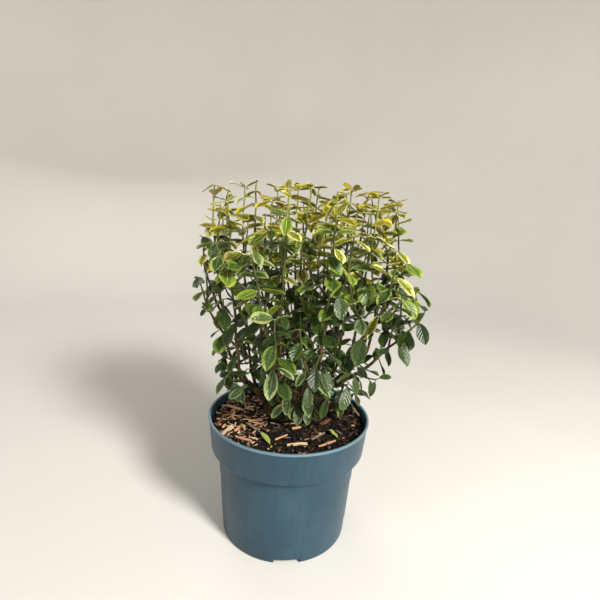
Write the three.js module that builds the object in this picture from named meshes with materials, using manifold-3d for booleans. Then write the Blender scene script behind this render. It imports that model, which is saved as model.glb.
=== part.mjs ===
// A potted wintercreeper: an upright evergreen shrub with small opposite leaves, green in the
// middle and gold or cream round the edge, in a nursery pot of blue-grey plastic.
// Millimetres, +Z up. The origin is the middle of the pot's flat underside, +X is the
// plant's longer side and -Y is its front.

import * as THREE from 'three';
import { mergeVertices } from 'three/addons/utils/BufferGeometryUtils.js';
import Module from 'manifold-3d';

const wasm = await Module();
wasm.setup();

// Clear distance between neighbouring pieces
const GAP = 0.3;
const CUT_MARGIN = 1.1;

// Pot
const POT_HEIGHT = 130;
const RIM_RADIUS = 85;
const LIP_PROUD = 0.8;
const LIP_HEIGHT = 2.4;
const COLLAR_DEPTH = 34;
const COLLAR_LOW_RADIUS = 81.2;
const BODY_TOP_RADIUS = 73.6;
const BASE_RADIUS = 67;
const WALL = 1.5;
const EDGE = 0.6;
const FOOT_ROUND = 1.6;
const FOOT_CORNER = 0.3;
const RING_HEIGHTS = [19, 67];
const RING_STEP = 0.6;
const POT_SIDES = 40;

// Drain pockets, open below and through the wall
const POCKET_COUNT = 4;
const POCKET_WIDTH = 26;
const POCKET_RISE = 5;
const POCKET_REACH = 34;
const POCKET_TURN = 0.1;

// Compost and the bark chips on it
const SOIL_TOP = 121;
const CHIP_COUNT = 26;
const CHIP_LENGTH = [9, 20];
const CHIP_WIDTH = [2.6, 4.6];
const CHIP_THICKNESS = 1.8;
const CHIP_TILT = 0.16;
const CHIP_RAISED = 0.3;
const CHIP_SPREAD = 68;
const CHIP_SPIN = 2.4;
const CHIP_STEM_DISTANCE = 20;
const CHIP_SEED = 41;

// Shoots of the masses, three-sided twigs with a joint at each pair of leaves
const PLANT_TOP = 362;
const INTERNODE = 21;
const TWIG_SIDES = 3;
const TWIG_TURN = 0.7;
const TWIG_FOOT_RADIUS = 1.15;
const TWIG_TIP_RADIUS = 0.65;
const TWIG_WANDER = 1.1;
const UPRIGHT_PULL = 1.6;
const FORK_SHARE = 0.37;
const FORK_SPREAD = 0.5;
const AXIS_PARTS = 4;

// Side shoots: where they fork off, how far out and up they go, and the room they need
const SIDE_HIGHEST = 0.6;
const SIDE_LENGTH = [38, 78];
const SIDE_LEAN = [0.35, 0.95];
const SIDE_OUT = 0.6;
const SIDE_DROP = 0.35;
const SIDE_LEAVE_RISE = 0.5;
const SIDE_SHORTFALL = 12;
const SIDE_TRIES = 14;
const SHOOT_CLEARANCE = 7;

// Leaves: a range runs from the top of the plant to its foot, or is a range of chance
const LEAF_LENGTH = [20, 28];
const LENGTH_CHANCE = [0.85, 1.12];
const LEAF_RATIO = 0.47;
const RATIO_SWELL = 0.15;
const SWELL_DEPTH = 1.1;
const WIDTH_CHANCE = [0.9, 1.1];
const LEAF_THICKNESS = 0.55;
const WIDEST = 0.46;
const YOUNG = 0.8;
const DROOP = [0.08, 1];
const DROOP_POWER = 0.8;
const DROOP_CHANCE = 0.5;
const BANK_CHANCE = 0.7;
const CURL = [0.05, 0.2];
const FOLD = [0.05, 0.16];
const SPIN_CHANCE = 0.5;
const LEAF_STEP = 1.6;
const BARE_TIP = 7;
const ROOT_OFFSET = 0.2;
const FOOT_RISE = 25;

// Room that a leaf needs, and the turns and sizes that it is tried at
const LEAF_CLEARANCE = 0.7;
const TWIG_CLEARANCE = 1.6;
const STALK_CLEARANCE = 3;
const LIMB_CLEARANCE = 0.7;
const SOIL_CLEARANCE = 4;
const RIM_CLEARANCE = 2;
const WALL_CLEARANCE = 7;
const TURNS = [0, 0.4, -0.4, 0.8, -0.8];
const SHRINKS = [1, 0.75];
const BLADE_TESTS = [
  [1, 0], [0.8, 0.6], [0.8, -0.6], [0.5, 1], [0.5, -1], [0.25, 0.7], [0.25, -0.7], [0.6, 0], [0.3, 0],
];

// Least distance between corners that a fused mass keeps
const FINEST = 0.03;
const CORNER_GAP = 0.003;

// Multipliers that give each stream of chance its own seed
const SIDE_SEED = 101;
const LEAF_SEED = 977;
const SHOOT_SEED = 131;

// Stems that stand in the compost: foot and top of the axis, and the radius at each
const STEMS = {
  left_stem: { foot: [-22, 16], top: [-47, 6, 159], radii: [3.6, 2.6] },
  main_stem: { foot: [2, 15], top: [5, 11, 150], radii: [4.6, 3.2] },
  right_stem: { foot: [25, 15], top: [41, 7, 160], radii: [3.9, 2.7] },
};
const STEM_SIDES = 9;
const STEM_STEPS = 6;
const STEM_BEND = [0.3, 0.55];
const FOOT_STRAIGHTEN = 0.6;
const STEM_SUNK = 3;
const FLARE = 0.75;
const FLARE_REACH = 0.16;
const FLARE_LOBES = 3;
const LOBE_DEPTH = 0.25;

// Boughs: thin woody limbs from a stem to the foot of a mass of foliage
const BOUGH_SIDES = 5;
const BOUGH_STEPS = 5;
const BOUGH_TIP_RADIUS = 1.45;
const BOUGH_FOOT_RADIUS = 2.1;

// Masses of foliage: the stem that carries each, how far up that stem its bough starts (0 to 1),
// where the mass starts, the tips of its tall shoots, and how many side shoots it grows
const MASSES = {
  far_left: {
    stem: 'left_stem', from: 1, foot: [-69, 4, 200], sides: 2, seed: 11,
    tips: [[-86, 8, 361], [-99, 16, 309]],
  },
  left_front: {
    stem: 'left_stem', from: 0.8, foot: [-52, -22, 180], sides: 2, seed: 12,
    tips: [[-64, -42, 357], [-92, -26, 273]],
  },
  left_back: {
    stem: 'left_stem', from: 0.62, foot: [-48, 34, 176], sides: 2, seed: 13,
    tips: [[-62, 50, 362], [-84, 62, 318]],
  },
  left_centre: {
    stem: 'main_stem', from: 0.7, foot: [-27, -2, 166], sides: 2, seed: 14,
    tips: [[-43, -6, 368], [-36, 18, 330]],
  },
  back_left: {
    stem: 'main_stem', from: 0.35, foot: [-18, 46, 164], sides: 2, seed: 15,
    tips: [[-28, 72, 364], [-52, 86, 322]],
  },
  front_left: {
    stem: 'main_stem', from: 0.45, foot: [-12, -26, 160], sides: 2, seed: 16,
    tips: [[-10, -66, 358], [-38, -70, 318]],
  },
  centre: {
    stem: 'main_stem', from: 1, foot: [4, 10, 164], sides: 2, seed: 17,
    tips: [[-4, 22, 361], [9, -28, 362]],
  },
  back_right: {
    stem: 'main_stem', from: 0.6, foot: [20, 48, 166], sides: 2, seed: 18,
    tips: [[19, 78, 367], [2, 52, 352]],
  },
  front_right: {
    stem: 'right_stem', from: 0.5, foot: [24, -26, 162], sides: 2, seed: 19,
    tips: [[30, -74, 359], [38, -42, 340]],
  },
  right_centre: {
    stem: 'right_stem', from: 0.75, foot: [44, 4, 186], sides: 2, seed: 20,
    tips: [[47, -14, 363], [46, 30, 361]],
  },
  right_back: {
    stem: 'right_stem', from: 0.65, foot: [52, 38, 178], sides: 2, seed: 21,
    tips: [[73, 56, 363], [60, 84, 330]],
  },
  right_front: {
    stem: 'right_stem', from: 0.85, foot: [58, -20, 186], sides: 2, seed: 22,
    tips: [[68, -46, 357], [86, -62, 300]],
  },
  far_right: {
    stem: 'right_stem', from: 1, foot: [80, 8, 206], sides: 2, seed: 23,
    tips: [[96, 6, 357], [104, -16, 297]],
  },
  low_right: {
    stem: 'right_stem', from: 0.9, foot: [84, -14, 198], sides: 2, seed: 32,
    tips: [[129, -11, 249], [112, 18, 262]],
  },
  low_front: {
    stem: 'main_stem', from: 0.25, foot: [6, -14, 137], sides: 2, seed: 25,
    tips: [[26, -50, 212], [-24, -48, 206], [6, -58, 238]],
  },
  low_back: {
    stem: 'main_stem', from: 0.2, foot: [2, 42, 137], sides: 2, seed: 26,
    tips: [[-34, 70, 212], [34, 76, 208], [4, 84, 240]],
  },
};

const FINISH = {
  pot: { color: 0x5f7f8e, roughness: 0.5 },
  compost: { color: 0x3a2a1e, roughness: 0.95 },
  stem: { color: 0x6b5236, roughness: 0.85 },
  bough: { color: 0x5d5a34, roughness: 0.8 },
  foliage: { color: 0x6f8c2e, roughness: 0.55 },
};

// A repeatable stream of numbers from 0 to 1
function seeded(seed) {
  let state = seed >>> 0;
  return () => {
    state = (state + 0x6d2b79f5) >>> 0;
    let mixed = state;
    mixed = Math.imul(mixed ^ (mixed >>> 15), mixed | 1);
    mixed ^= mixed + Math.imul(mixed ^ (mixed >>> 7), mixed | 61);
    return ((mixed ^ (mixed >>> 14)) >>> 0) / 4294967296;
  };
}

const lerp = (from, to, share) => from + (to - from) * share;
const vector = (values) => new THREE.Vector3(...values);

// Solids

function toSolid(geometry) {
  geometry.deleteAttribute('normal');
  geometry.deleteAttribute('uv');
  const merged = mergeVertices(geometry, 1e-4);
  const mesh = new wasm.Mesh({
    numProp: 3,
    vertProperties: new Float32Array(merged.attributes.position.array),
    triVerts: new Uint32Array(merged.index.array),
  });
  return new wasm.Manifold(mesh);
}

// The largest body of a solid, without loose scraps and sealed hollows
function largestBody(solid) {
  const bodies = solid.decompose();
  return bodies.reduce((best, body) => (body.volume() > best.volume() ? body : best));
}

function toGeometry(solid) {
  const mesh = solid.getMesh();
  const geometry = new THREE.BufferGeometry();
  geometry.setAttribute('position', new THREE.BufferAttribute(mesh.vertProperties, 3));
  geometry.setIndex(new THREE.BufferAttribute(mesh.triVerts, 1));
  geometry.computeVertexNormals();
  return geometry;
}

function lathe(profile) {
  const points = profile.map(([radius, height]) => new THREE.Vector2(radius, height));
  const geometry = new THREE.LatheGeometry(points, POT_SIDES);
  geometry.rotateX(Math.PI / 2);
  return toSolid(geometry);
}

// A limb through its knots, with a radius for each share of its length, from 0 to 1
function limb(knots, radiusAt, sides, turn = 0) {
  const steps = knots.length - 1;
  const geometry = new THREE.CylinderGeometry(1, 1, 1, sides, steps);
  geometry.rotateY(turn);
  const place = geometry.attributes.position;
  for (let i = 0; i < place.count; i += 1) {
    const ring = Math.round((place.getY(i) + 0.5) * steps);
    const { across, forward } = frameAt(knots, ring);
    const spoke = Math.atan2(place.getZ(i), place.getX(i));
    const radius = radiusAt(ring / steps, spoke);
    const point = knots[ring].clone();
    point.addScaledVector(across, place.getX(i) * radius);
    point.addScaledVector(forward, place.getZ(i) * radius);
    place.setXYZ(i, point.x, point.y, point.z);
  }
  return toSolid(geometry);
}

function tangentAt(knots, ring) {
  const before = knots[Math.max(ring - 1, 0)];
  const after = knots[Math.min(ring + 1, knots.length - 1)];
  return after.clone().sub(before).normalize();
}

// Two directions square to the limb, so that across, tangent and forward are right-handed
function frameAt(knots, ring) {
  const tangent = tangentAt(knots, ring);
  const across = new THREE.Vector3(1, 0, 0);
  across.addScaledVector(tangent, -across.dot(tangent)).normalize();
  const forward = across.clone().cross(tangent);
  return { tangent, across, forward };
}

// The same limb a little fatter and longer, for cutting its neighbours clear of it
function grownLimb(knots, radiusAt, sides, by) {
  const last = knots.length - 1;
  const longer = knots.map((knot) => knot.clone());
  longer[0].addScaledVector(tangentAt(knots, 0), -by);
  longer[last].addScaledVector(tangentAt(knots, last), by);
  return limb(longer, (share, spoke) => radiusAt(share, spoke) + by * CUT_MARGIN, sides);
}

// Pot and compost

const bodySlope =
  (BODY_TOP_RADIUS - BASE_RADIUS - RING_STEP * RING_HEIGHTS.length) / (POT_HEIGHT - COLLAR_DEPTH);

function bodyRadius(height, ringsBelow) {
  return BASE_RADIUS + bodySlope * height + RING_STEP * ringsBelow;
}

function potOutside() {
  const step = POT_HEIGHT - COLLAR_DEPTH;
  const profile = [[0, 0], [BASE_RADIUS - FOOT_ROUND, 0]];
  const corner = FOOT_ROUND * FOOT_CORNER;
  profile.push([BASE_RADIUS - corner, corner], [BASE_RADIUS, FOOT_ROUND]);
  RING_HEIGHTS.forEach((height, index) => {
    profile.push([bodyRadius(height, index), height]);
    profile.push([bodyRadius(height, index + 1), height + EDGE]);
  });
  profile.push([BODY_TOP_RADIUS, step], [COLLAR_LOW_RADIUS - EDGE, step]);
  profile.push([COLLAR_LOW_RADIUS, step + EDGE]);
  profile.push([RIM_RADIUS - LIP_PROUD, POT_HEIGHT - LIP_HEIGHT]);
  profile.push([RIM_RADIUS, POT_HEIGHT - LIP_HEIGHT + EDGE], [RIM_RADIUS, POT_HEIGHT - EDGE]);
  profile.push([RIM_RADIUS - EDGE, POT_HEIGHT]);
  return profile;
}

// The inner wall from the floor up, moved in by a clearance
function potInside(clearance) {
  const step = POT_HEIGHT - COLLAR_DEPTH + WALL;
  const inset = WALL + clearance;
  return [
    [BASE_RADIUS - inset, WALL + clearance],
    [BODY_TOP_RADIUS - inset - RING_STEP, step + clearance],
    [COLLAR_LOW_RADIUS - inset, step + clearance],
  ];
}

function wallRadiusInside(height, clearance) {
  const step = POT_HEIGHT - COLLAR_DEPTH;
  const share = (height - step) / COLLAR_DEPTH;
  return lerp(COLLAR_LOW_RADIUS, RIM_RADIUS - LIP_PROUD, share) - WALL - clearance;
}

// One block per pocket, from its inner end out past the wall, between two heights
function pocketBlocks(grow, low, high) {
  const blocks = [];
  for (let index = 0; index < POCKET_COUNT; index += 1) {
    const length = RIM_RADIUS - POCKET_REACH + grow;
    const box = new THREE.BoxGeometry(length, POCKET_WIDTH + 2 * grow, high - low);
    box.translate(POCKET_REACH - grow + length / 2, 0, (high + low) / 2);
    box.rotateZ((index / POCKET_COUNT) * 2 * Math.PI - Math.PI / 2 + POCKET_TURN);
    blocks.push(toSolid(box));
  }
  return wasm.Manifold.union(blocks);
}

function makePot() {
  const middle = -WALL / 2;
  const envelope = lathe([[0, WALL / 2], ...potInside(middle), [0, POT_HEIGHT]]);
  const rimInside = [wallRadiusInside(POT_HEIGHT, 0), POT_HEIGHT];
  const cup = lathe([...potOutside(), rimInside, ...potInside(0).reverse(), [0, WALL]]);
  const roofs = pocketBlocks(WALL, 0, POCKET_RISE + WALL).intersect(envelope);
  const channels = pocketBlocks(0, -WALL, POCKET_RISE);
  return largestBody(cup.add(roofs).subtract(channels));
}

function chipPlaces() {
  const draw = seeded(CHIP_SEED);
  const chips = [];
  for (let index = 0; index < CHIP_COUNT; index += 1) {
    const angle = (index + draw()) * CHIP_SPIN;
    const radius = CHIP_SPREAD * Math.sqrt((index + 0.5) / CHIP_COUNT);
    const chip = {
      x: radius * Math.cos(angle),
      y: radius * Math.sin(angle),
      turn: draw() * Math.PI,
      length: lerp(...CHIP_LENGTH, draw()),
      width: lerp(...CHIP_WIDTH, draw()),
      tilt: lerp(-CHIP_TILT, CHIP_TILT, draw()),
    };
    const nearStem = Object.values(STEMS).some(
      ({ foot }) => Math.hypot(chip.x - foot[0], chip.y - foot[1]) < CHIP_STEM_DISTANCE,
    );
    if (!nearStem) chips.push(chip);
  }
  return chips;
}

function makeChip(chip) {
  const box = new THREE.BoxGeometry(chip.length, chip.width, CHIP_THICKNESS);
  box.rotateY(chip.tilt);
  box.rotateZ(chip.turn);
  box.translate(chip.x, chip.y, SOIL_TOP + CHIP_THICKNESS * CHIP_RAISED);
  return toSolid(box);
}

function makeCompost() {
  const rim = [wallRadiusInside(SOIL_TOP, GAP), SOIL_TOP];
  const profile = [[0, WALL + GAP], ...potInside(GAP), rim, [0, SOIL_TOP]];
  const room = pocketBlocks(WALL + GAP, 0, POCKET_RISE + WALL + GAP);
  const filling = lathe(profile).subtract(room);
  return largestBody(wasm.Manifold.union([filling, ...chipPlaces().map(makeChip)]));
}

// Stems

function stemKnots(stem) {
  const [x, y] = stem.foot;
  const foot = new THREE.Vector3(x, y, SOIL_TOP + GAP);
  const top = vector(stem.top);
  const [out, up] = STEM_BEND;
  const bend = new THREE.Vector3(lerp(x, top.x, out), lerp(y, top.y, out), lerp(foot.z, top.z, up));
  const knots = new THREE.QuadraticBezierCurve3(foot, bend, top).getPoints(STEM_STEPS);
  const [, second] = knots;
  second.set(lerp(x, second.x, FOOT_STRAIGHTEN), lerp(y, second.y, FOOT_STRAIGHTEN), second.z);
  return knots;
}

function stemRadius(stem) {
  return (share, spoke) => {
    const flare = FLARE * Math.exp(-share / FLARE_REACH);
    const lobes = 1 + LOBE_DEPTH * Math.cos(spoke * FLARE_LOBES);
    return lerp(...stem.radii, share) * (1 + flare * lobes);
  };
}

// The foot ring lies level, so that the cut at the ground is flat
function levelFoot(solid) {
  const reach = RIM_RADIUS * 2;
  const slab = new THREE.BoxGeometry(reach, reach, POT_HEIGHT);
  slab.translate(0, 0, SOIL_TOP + GAP - POT_HEIGHT / 2);
  return largestBody(solid.subtract(toSolid(slab)));
}

// Shoots of the masses

function shootCurve(foot, tip, leave, arrive) {
  const reach = foot.distanceTo(tip) / 3;
  return new THREE.CubicBezierCurve3(
    foot.clone(),
    foot.clone().addScaledVector(leave, reach),
    tip.clone().addScaledVector(arrive, -reach),
    tip.clone(),
  );
}

// Knots an internode apart, each a little off the curve, as the stem bends at its leaf joints
function shootKnots(curve, draw) {
  const steps = Math.max(2, Math.round(curve.getLength() / INTERNODE));
  const knots = curve.getSpacedPoints(steps);
  for (let index = 1; index < steps; index += 1) {
    knots[index].x += (draw() - 0.5) * TWIG_WANDER;
    knots[index].y += (draw() - 0.5) * TWIG_WANDER;
  }
  return knots;
}

function uprightTo(tip, foot) {
  const arrive = tip.clone().sub(foot).normalize();
  arrive.z += UPRIGHT_PULL;
  return arrive.normalize();
}

// A shoot forks off part of the way from one joint to the next
function forkPoint(knots, joint) {
  return knots[joint].clone().lerp(knots[joint + 1], FORK_SHARE);
}

function tallShoots(mass, draw) {
  const foot = vector(mass.foot);
  const shoots = [];
  mass.tips.forEach((values, index) => {
    const tip = vector(values);
    if (index === 0) {
      const leave = tip.clone().sub(foot).normalize();
      const knots = shootKnots(shootCurve(foot, tip, leave, uprightTo(tip, foot)), draw);
      shoots.push({ knots, tipLeaves: true });
      return;
    }
    const fork = forkPoint(shoots[0].knots, index);
    const leave = tip.clone().sub(fork).normalize();
    leave.z *= FORK_SPREAD;
    leave.normalize();
    const knots = shootKnots(shootCurve(fork, tip, leave, uprightTo(tip, fork)), draw);
    shoots.push({ knots, tipLeaves: false });
  });
  return shoots;
}

function clearOf(points, others, distance) {
  return points.every((point) => others.every((other) => point.distanceTo(other) > distance));
}

// Points along a run of knots, close enough together to measure distances from
function along(knots) {
  const points = [];
  for (let index = 0; index + 1 < knots.length; index += 1) {
    for (let part = 0; part < AXIS_PARTS; part += 1) {
      points.push(knots[index].clone().lerp(knots[index + 1], part / AXIS_PARTS));
    }
  }
  points.push(knots[knots.length - 1].clone());
  return points;
}

function sideShoot(parent, draw) {
  const joint = Math.floor(lerp(1, parent.knots.length * SIDE_HIGHEST, draw()));
  const turn = draw() * 2 * Math.PI;
  const length = lerp(...SIDE_LENGTH, draw());
  const lean = lerp(...SIDE_LEAN, draw());
  const foot = forkPoint(parent.knots, joint);
  const level = new THREE.Vector3(Math.cos(turn), Math.sin(turn), 0);
  const tip = foot.clone().addScaledVector(level, length * lean * SIDE_OUT);
  tip.z += length * (1 - lean * SIDE_DROP);
  const leave = level.clone().setZ(SIDE_LEAVE_RISE).normalize();
  const knots = shootKnots(shootCurve(foot, tip, leave, uprightTo(tip, foot)), draw);
  return { knots, tipLeaves: false };
}

// Side shoots stand clear of every other shoot and bough, and keep under the plant's top
function addSideShoots(plant, name) {
  const mass = MASSES[name];
  const own = plant.shoots[name];
  const draw = seeded(mass.seed * SIDE_SEED);
  let grown = 0;
  for (let attempt = 0; attempt < SIDE_TRIES; attempt += 1) {
    const parent = own[Math.floor(draw() * mass.tips.length)];
    const shoot = sideShoot(parent, draw);
    const free = shoot.knots.slice(1).flatMap((knot, index, list) =>
      index ? [list[index - 1].clone().lerp(knot, 0.5), knot] : [knot],
    );
    const others = Object.keys(plant.shoots).flatMap((key) => plant.axes[key]);
    const limbs = Object.values(plant.boughs).flatMap((bough) => along(bough.knots));
    const top = shoot.knots[shoot.knots.length - 1].z;
    const clear = clearOf(free, [...others, ...limbs], SHOOT_CLEARANCE);
    const fits = clear && top < PLANT_TOP - SIDE_SHORTFALL;
    if (fits && grown < mass.sides) {
      own.push(shoot);
      plant.axes[name].push(...along(shoot.knots));
      grown += 1;
    }
  }
}

// Leaves

// How far down the plant a height is: 0 at the top and 1 at the lowest leaves
function depthShare(height) {
  const span = PLANT_TOP - SOIL_TOP - FOOT_RISE;
  return THREE.MathUtils.clamp((PLANT_TOP - height) / span, 0, 1);
}

// Width over length: broad half way down, narrow at the foot of the plant
function leafRatio(depth) {
  return LEAF_RATIO + RATIO_SWELL * Math.sin(Math.PI * Math.min(depth * SWELL_DEPTH, 1));
}

function leafAt(root, tangent, spin, size, depth, chance) {
  const droop = lerp(...DROOP, depth ** DROOP_POWER) + (chance[0] - 0.5) * DROOP_CHANCE;
  const level = new THREE.Vector3(Math.cos(spin), Math.sin(spin), 0);
  level.addScaledVector(tangent, -level.dot(tangent)).normalize();
  const ahead = level.multiplyScalar(Math.cos(droop));
  ahead.z -= Math.sin(droop);
  ahead.normalize();
  const side = new THREE.Vector3(-Math.sin(spin), Math.cos(spin), 0);
  side.z += (chance[1] - 0.5) * BANK_CHANCE;
  side.addScaledVector(ahead, -side.dot(ahead)).normalize();
  const face = ahead.clone().cross(side).normalize();
  if (face.z < 0) face.negate();
  const across = ahead.clone().cross(face);
  return {
    root, ahead, face, across,
    length: size,
    width: size * leafRatio(depth) * lerp(...WIDTH_CHANCE, chance[2]),
    curl: lerp(...CURL, chance[3]),
    fold: lerp(...FOLD, chance[4]),
  };
}

// A point of a leaf's blade: share of its length, share of its half width, and lift
function bladePoint(leaf, share, half, lift = 0) {
  const raise = lift + Math.abs(half) * leaf.fold * leaf.width - leaf.curl * share ** 2 * leaf.length;
  return leaf.root.clone()
    .addScaledVector(leaf.ahead, share * leaf.length + ROOT_OFFSET)
    .addScaledVector(leaf.across, (half * leaf.width) / 2)
    .addScaledVector(leaf.face, raise);
}

function nearest(point, others) {
  let least = Infinity;
  for (const other of others) {
    const distance = point.distanceToSquared(other);
    if (distance < least) least = distance;
  }
  return Math.sqrt(least);
}

function abovePotAndSoil(point) {
  const reach = Math.hypot(point.x, point.y);
  if (point.z < SOIL_TOP + SOIL_CLEARANCE) return false;
  return point.z > POT_HEIGHT + RIM_CLEARANCE || reach < RIM_RADIUS - WALL_CLEARANCE;
}

// A leaf stays in its mass's space: nearer to its own shoots than to any other's, off the limbs
function leafFits(leaf, own, others, limbs) {
  return BLADE_TESTS.every(([share, half]) => {
    const point = bladePoint(leaf, share, half);
    if (!abovePotAndSoil(point)) return false;
    if (limbs.some(({ at, radius }) => at.distanceTo(point) < radius + LIMB_CLEARANCE)) return false;
    return nearest(point, own) + LEAF_CLEARANCE < nearest(point, others);
  });
}

// The outer half of a blade hangs clear of the shoot that it grows on
function hangsFree(leaf, stalk) {
  const outer = BLADE_TESTS.filter(([share]) => share >= 0.5);
  return outer.every(
    ([share, half]) => nearest(bladePoint(leaf, share, half), stalk) > STALK_CLEARANCE,
  );
}

function placeLeaf(make, test) {
  for (const shrink of SHRINKS) {
    for (const turn of TURNS) {
      const leaf = make(turn, shrink);
      if (test(leaf)) return leaf;
    }
  }
  return null;
}

// Opposite pairs at the knots, each pair a quarter turn on from the one below
function growLeaves(plant, name) {
  const own = plant.axes[name];
  const others = Object.keys(plant.axes).filter((key) => key !== name)
    .flatMap((key) => plant.axes[key]);
  plant.shoots[name].forEach((shoot, number) => {
    const twigs = plant.shoots[name].filter((other) => other !== shoot)
      .flatMap((other) => along(other.knots));
    const limbs = [...plant.limbPoints, ...twigs.map((at) => ({ at, radius: TWIG_CLEARANCE }))];
    const stalk = along(shoot.knots);
    const test = (leaf) => leafFits(leaf, own, others, limbs) && hangsFree(leaf, stalk);
    const draw = seeded(MASSES[name].seed * LEAF_SEED + number * SHOOT_SEED);
    const last = shoot.knots.length - 1;
    const topmost = shoot.tipLeaves ? last : last - 1;
    let spin = draw() * Math.PI;
    for (let joint = 1; joint <= topmost; joint += 1) {
      const tangent = tangentAt(shoot.knots, joint);
      const step = joint === last ? -BARE_TIP : LEAF_STEP;
      const root = shoot.knots[joint].clone().addScaledVector(tangent, step);
      const depth = depthShare(root.z);
      const young = joint >= last - 1 ? YOUNG : 1;
      for (const half of [0, Math.PI]) {
        const chance = [draw(), draw(), draw(), draw(), draw(), draw()];
        const size = lerp(...LEAF_LENGTH, depth) * lerp(...LENGTH_CHANCE, chance[5]) * young;
        const leaf = placeLeaf(
          (turn, shrink) =>
            leafAt(root, tangent, spin + half + turn, size * shrink, depth, chance),
          test,
        );
        if (leaf) plant.leaves[name].push(leaf);
      }
      spin += Math.PI / 2 + (draw() - 0.5) * SPIN_CHANCE;
    }
  });
}

// A blade from its root to its tip, widest a little below its middle and domed there
function leafSolid(leaf) {
  const geometry = new THREE.OctahedronGeometry(1, 0);
  const place = geometry.attributes.position;
  const level = leaf.fold * leaf.width;
  for (let i = 0; i < place.count; i += 1) {
    const share = (place.getX(i) + 1) / 2 || 0;
    const middle = Math.abs(place.getY(i)) > 0.5;
    const lift = middle ? level + (place.getY(i) > 0 ? LEAF_THICKNESS : 0) : 0;
    const point = bladePoint(leaf, share === 0.5 ? WIDEST : share, place.getZ(i), lift);
    place.setXYZ(i, point.x, point.y, point.z);
  }
  return toSolid(geometry);
}

// Boughs

function boughKnots(stem, mass) {
  const shaft = stemKnots(stem);
  const start = Math.min(Math.round(mass.from * (shaft.length - 1)), shaft.length - 1);
  const foot = shaft[start].clone();
  const target = vector(mass.foot);
  const aim = vector(mass.tips[0]).sub(target).normalize();
  const end = target.clone().addScaledVector(aim, -GAP);
  const leave = end.clone().sub(foot).normalize();
  return shootCurve(foot, end, leave, aim).getSpacedPoints(BOUGH_STEPS);
}

const boughRadius = (share) => lerp(BOUGH_FOOT_RADIUS, BOUGH_TIP_RADIUS, share);
const twigRadius = (share) => lerp(TWIG_FOOT_RADIUS, TWIG_TIP_RADIUS, share);

// The whole plant's axes first, then what stands on them

function layOut() {
  const plant = { boughs: {}, shoots: {}, axes: {}, leaves: {}, limbPoints: [] };
  for (const [name, mass] of Object.entries(MASSES)) {
    plant.boughs[name] = { knots: boughKnots(STEMS[mass.stem], mass), stem: mass.stem };
    plant.shoots[name] = tallShoots(mass, seeded(mass.seed));
    plant.axes[name] = plant.shoots[name].flatMap((shoot) => along(shoot.knots));
    plant.leaves[name] = [];
  }
  Object.keys(MASSES).forEach((name) => addSideShoots(plant, name));
  for (const bough of Object.values(plant.boughs)) {
    along(bough.knots).forEach((at) => plant.limbPoints.push({ at, radius: BOUGH_FOOT_RADIUS }));
  }
  for (const stem of Object.values(STEMS)) {
    along(stemKnots(stem)).forEach((at) => {
      plant.limbPoints.push({ at, radius: stem.radii[0] * (1 + FLARE) });
    });
  }
  Object.keys(MASSES).forEach((name) => growLeaves(plant, name));
  return plant;
}

function makeStem(stem) {
  const knots = stemKnots(stem);
  const below = knots[0].clone();
  below.z -= STEM_SUNK;
  const solid = limb([below, ...knots], (share, spoke) => {
    const rise = Math.max(0, (share * knots.length - 1) / (knots.length - 1));
    return stemRadius(stem)(rise, spoke);
  }, STEM_SIDES);
  return levelFoot(solid);
}

function makeBough(bough, earlier) {
  const stem = STEMS[bough.stem];
  const shaft = grownLimb(stemKnots(stem), stemRadius(stem), STEM_SIDES, GAP);
  let solid = limb(bough.knots, boughRadius, BOUGH_SIDES).subtract(shaft);
  for (const other of earlier) {
    solid = solid.subtract(grownLimb(other.knots, boughRadius, BOUGH_SIDES, GAP));
  }
  return largestBody(solid);
}

// How many corners of a solid lie almost on another, which pinches its surface
function pinches(solid) {
  const { vertProperties } = solid.getMesh();
  const corners = [];
  for (let i = 0; i < vertProperties.length; i += 3) {
    corners.push(new THREE.Vector3().fromArray(vertProperties, i));
  }
  corners.sort((one, other) => one.x - other.x);
  const pinched = corners.filter((corner, index) => {
    for (let next = index + 1; next < corners.length; next += 1) {
      if (corners[next].x - corner.x > CORNER_GAP) return false;
      if (corners[next].distanceTo(corner) < CORNER_GAP) return true;
    }
    return false;
  });
  return pinched.length;
}

// Twigs with leaves fused on. A leaf that cuts through another twig or leaf is left out
function makeFoliage(plant, name) {
  const shoots = plant.shoots[name].map((shoot, number) =>
    limb(shoot.knots, twigRadius, TWIG_SIDES, number * TWIG_TURN),
  );
  const twigs = wasm.Manifold.union(shoots).simplify(FINEST);
  const blades = [];
  let body = twigs;
  for (const leaf of plant.leaves[name]) {
    const blade = leafSolid(leaf);
    const crossings = twigs.intersect(blade).decompose().length;
    const touches = blades.some((other) => !other.intersect(blade).isEmpty());
    if (crossings !== 1 || touches) continue;
    const grown = body.add(blade).simplify(FINEST);
    if (pinches(grown) > pinches(body)) continue;
    blades.push(blade);
    body = grown;
  }
  return largestBody(body);
}

function namedMesh(name, solid, finish) {
  const material = new THREE.MeshStandardMaterial({ ...finish, metalness: 0 });
  const mesh = new THREE.Mesh(toGeometry(solid), material);
  mesh.name = name;
  return mesh;
}

const plant = layOut();
const model = new THREE.Group();
model.add(namedMesh('pot', makePot(), FINISH.pot));
model.add(namedMesh('compost', makeCompost(), FINISH.compost));
for (const [name, stem] of Object.entries(STEMS)) {
  model.add(namedMesh(name, makeStem(stem), FINISH.stem));
}
const boughsMade = [];
for (const [name, bough] of Object.entries(plant.boughs)) {
  model.add(namedMesh(`${name}_bough`, makeBough(bough, boughsMade), FINISH.bough));
  boughsMade.push(bough);
}
for (const name of Object.keys(MASSES)) {
  model.add(namedMesh(`${name}_foliage`, makeFoliage(plant, name), FINISH.foliage));
}

export default model;
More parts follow.
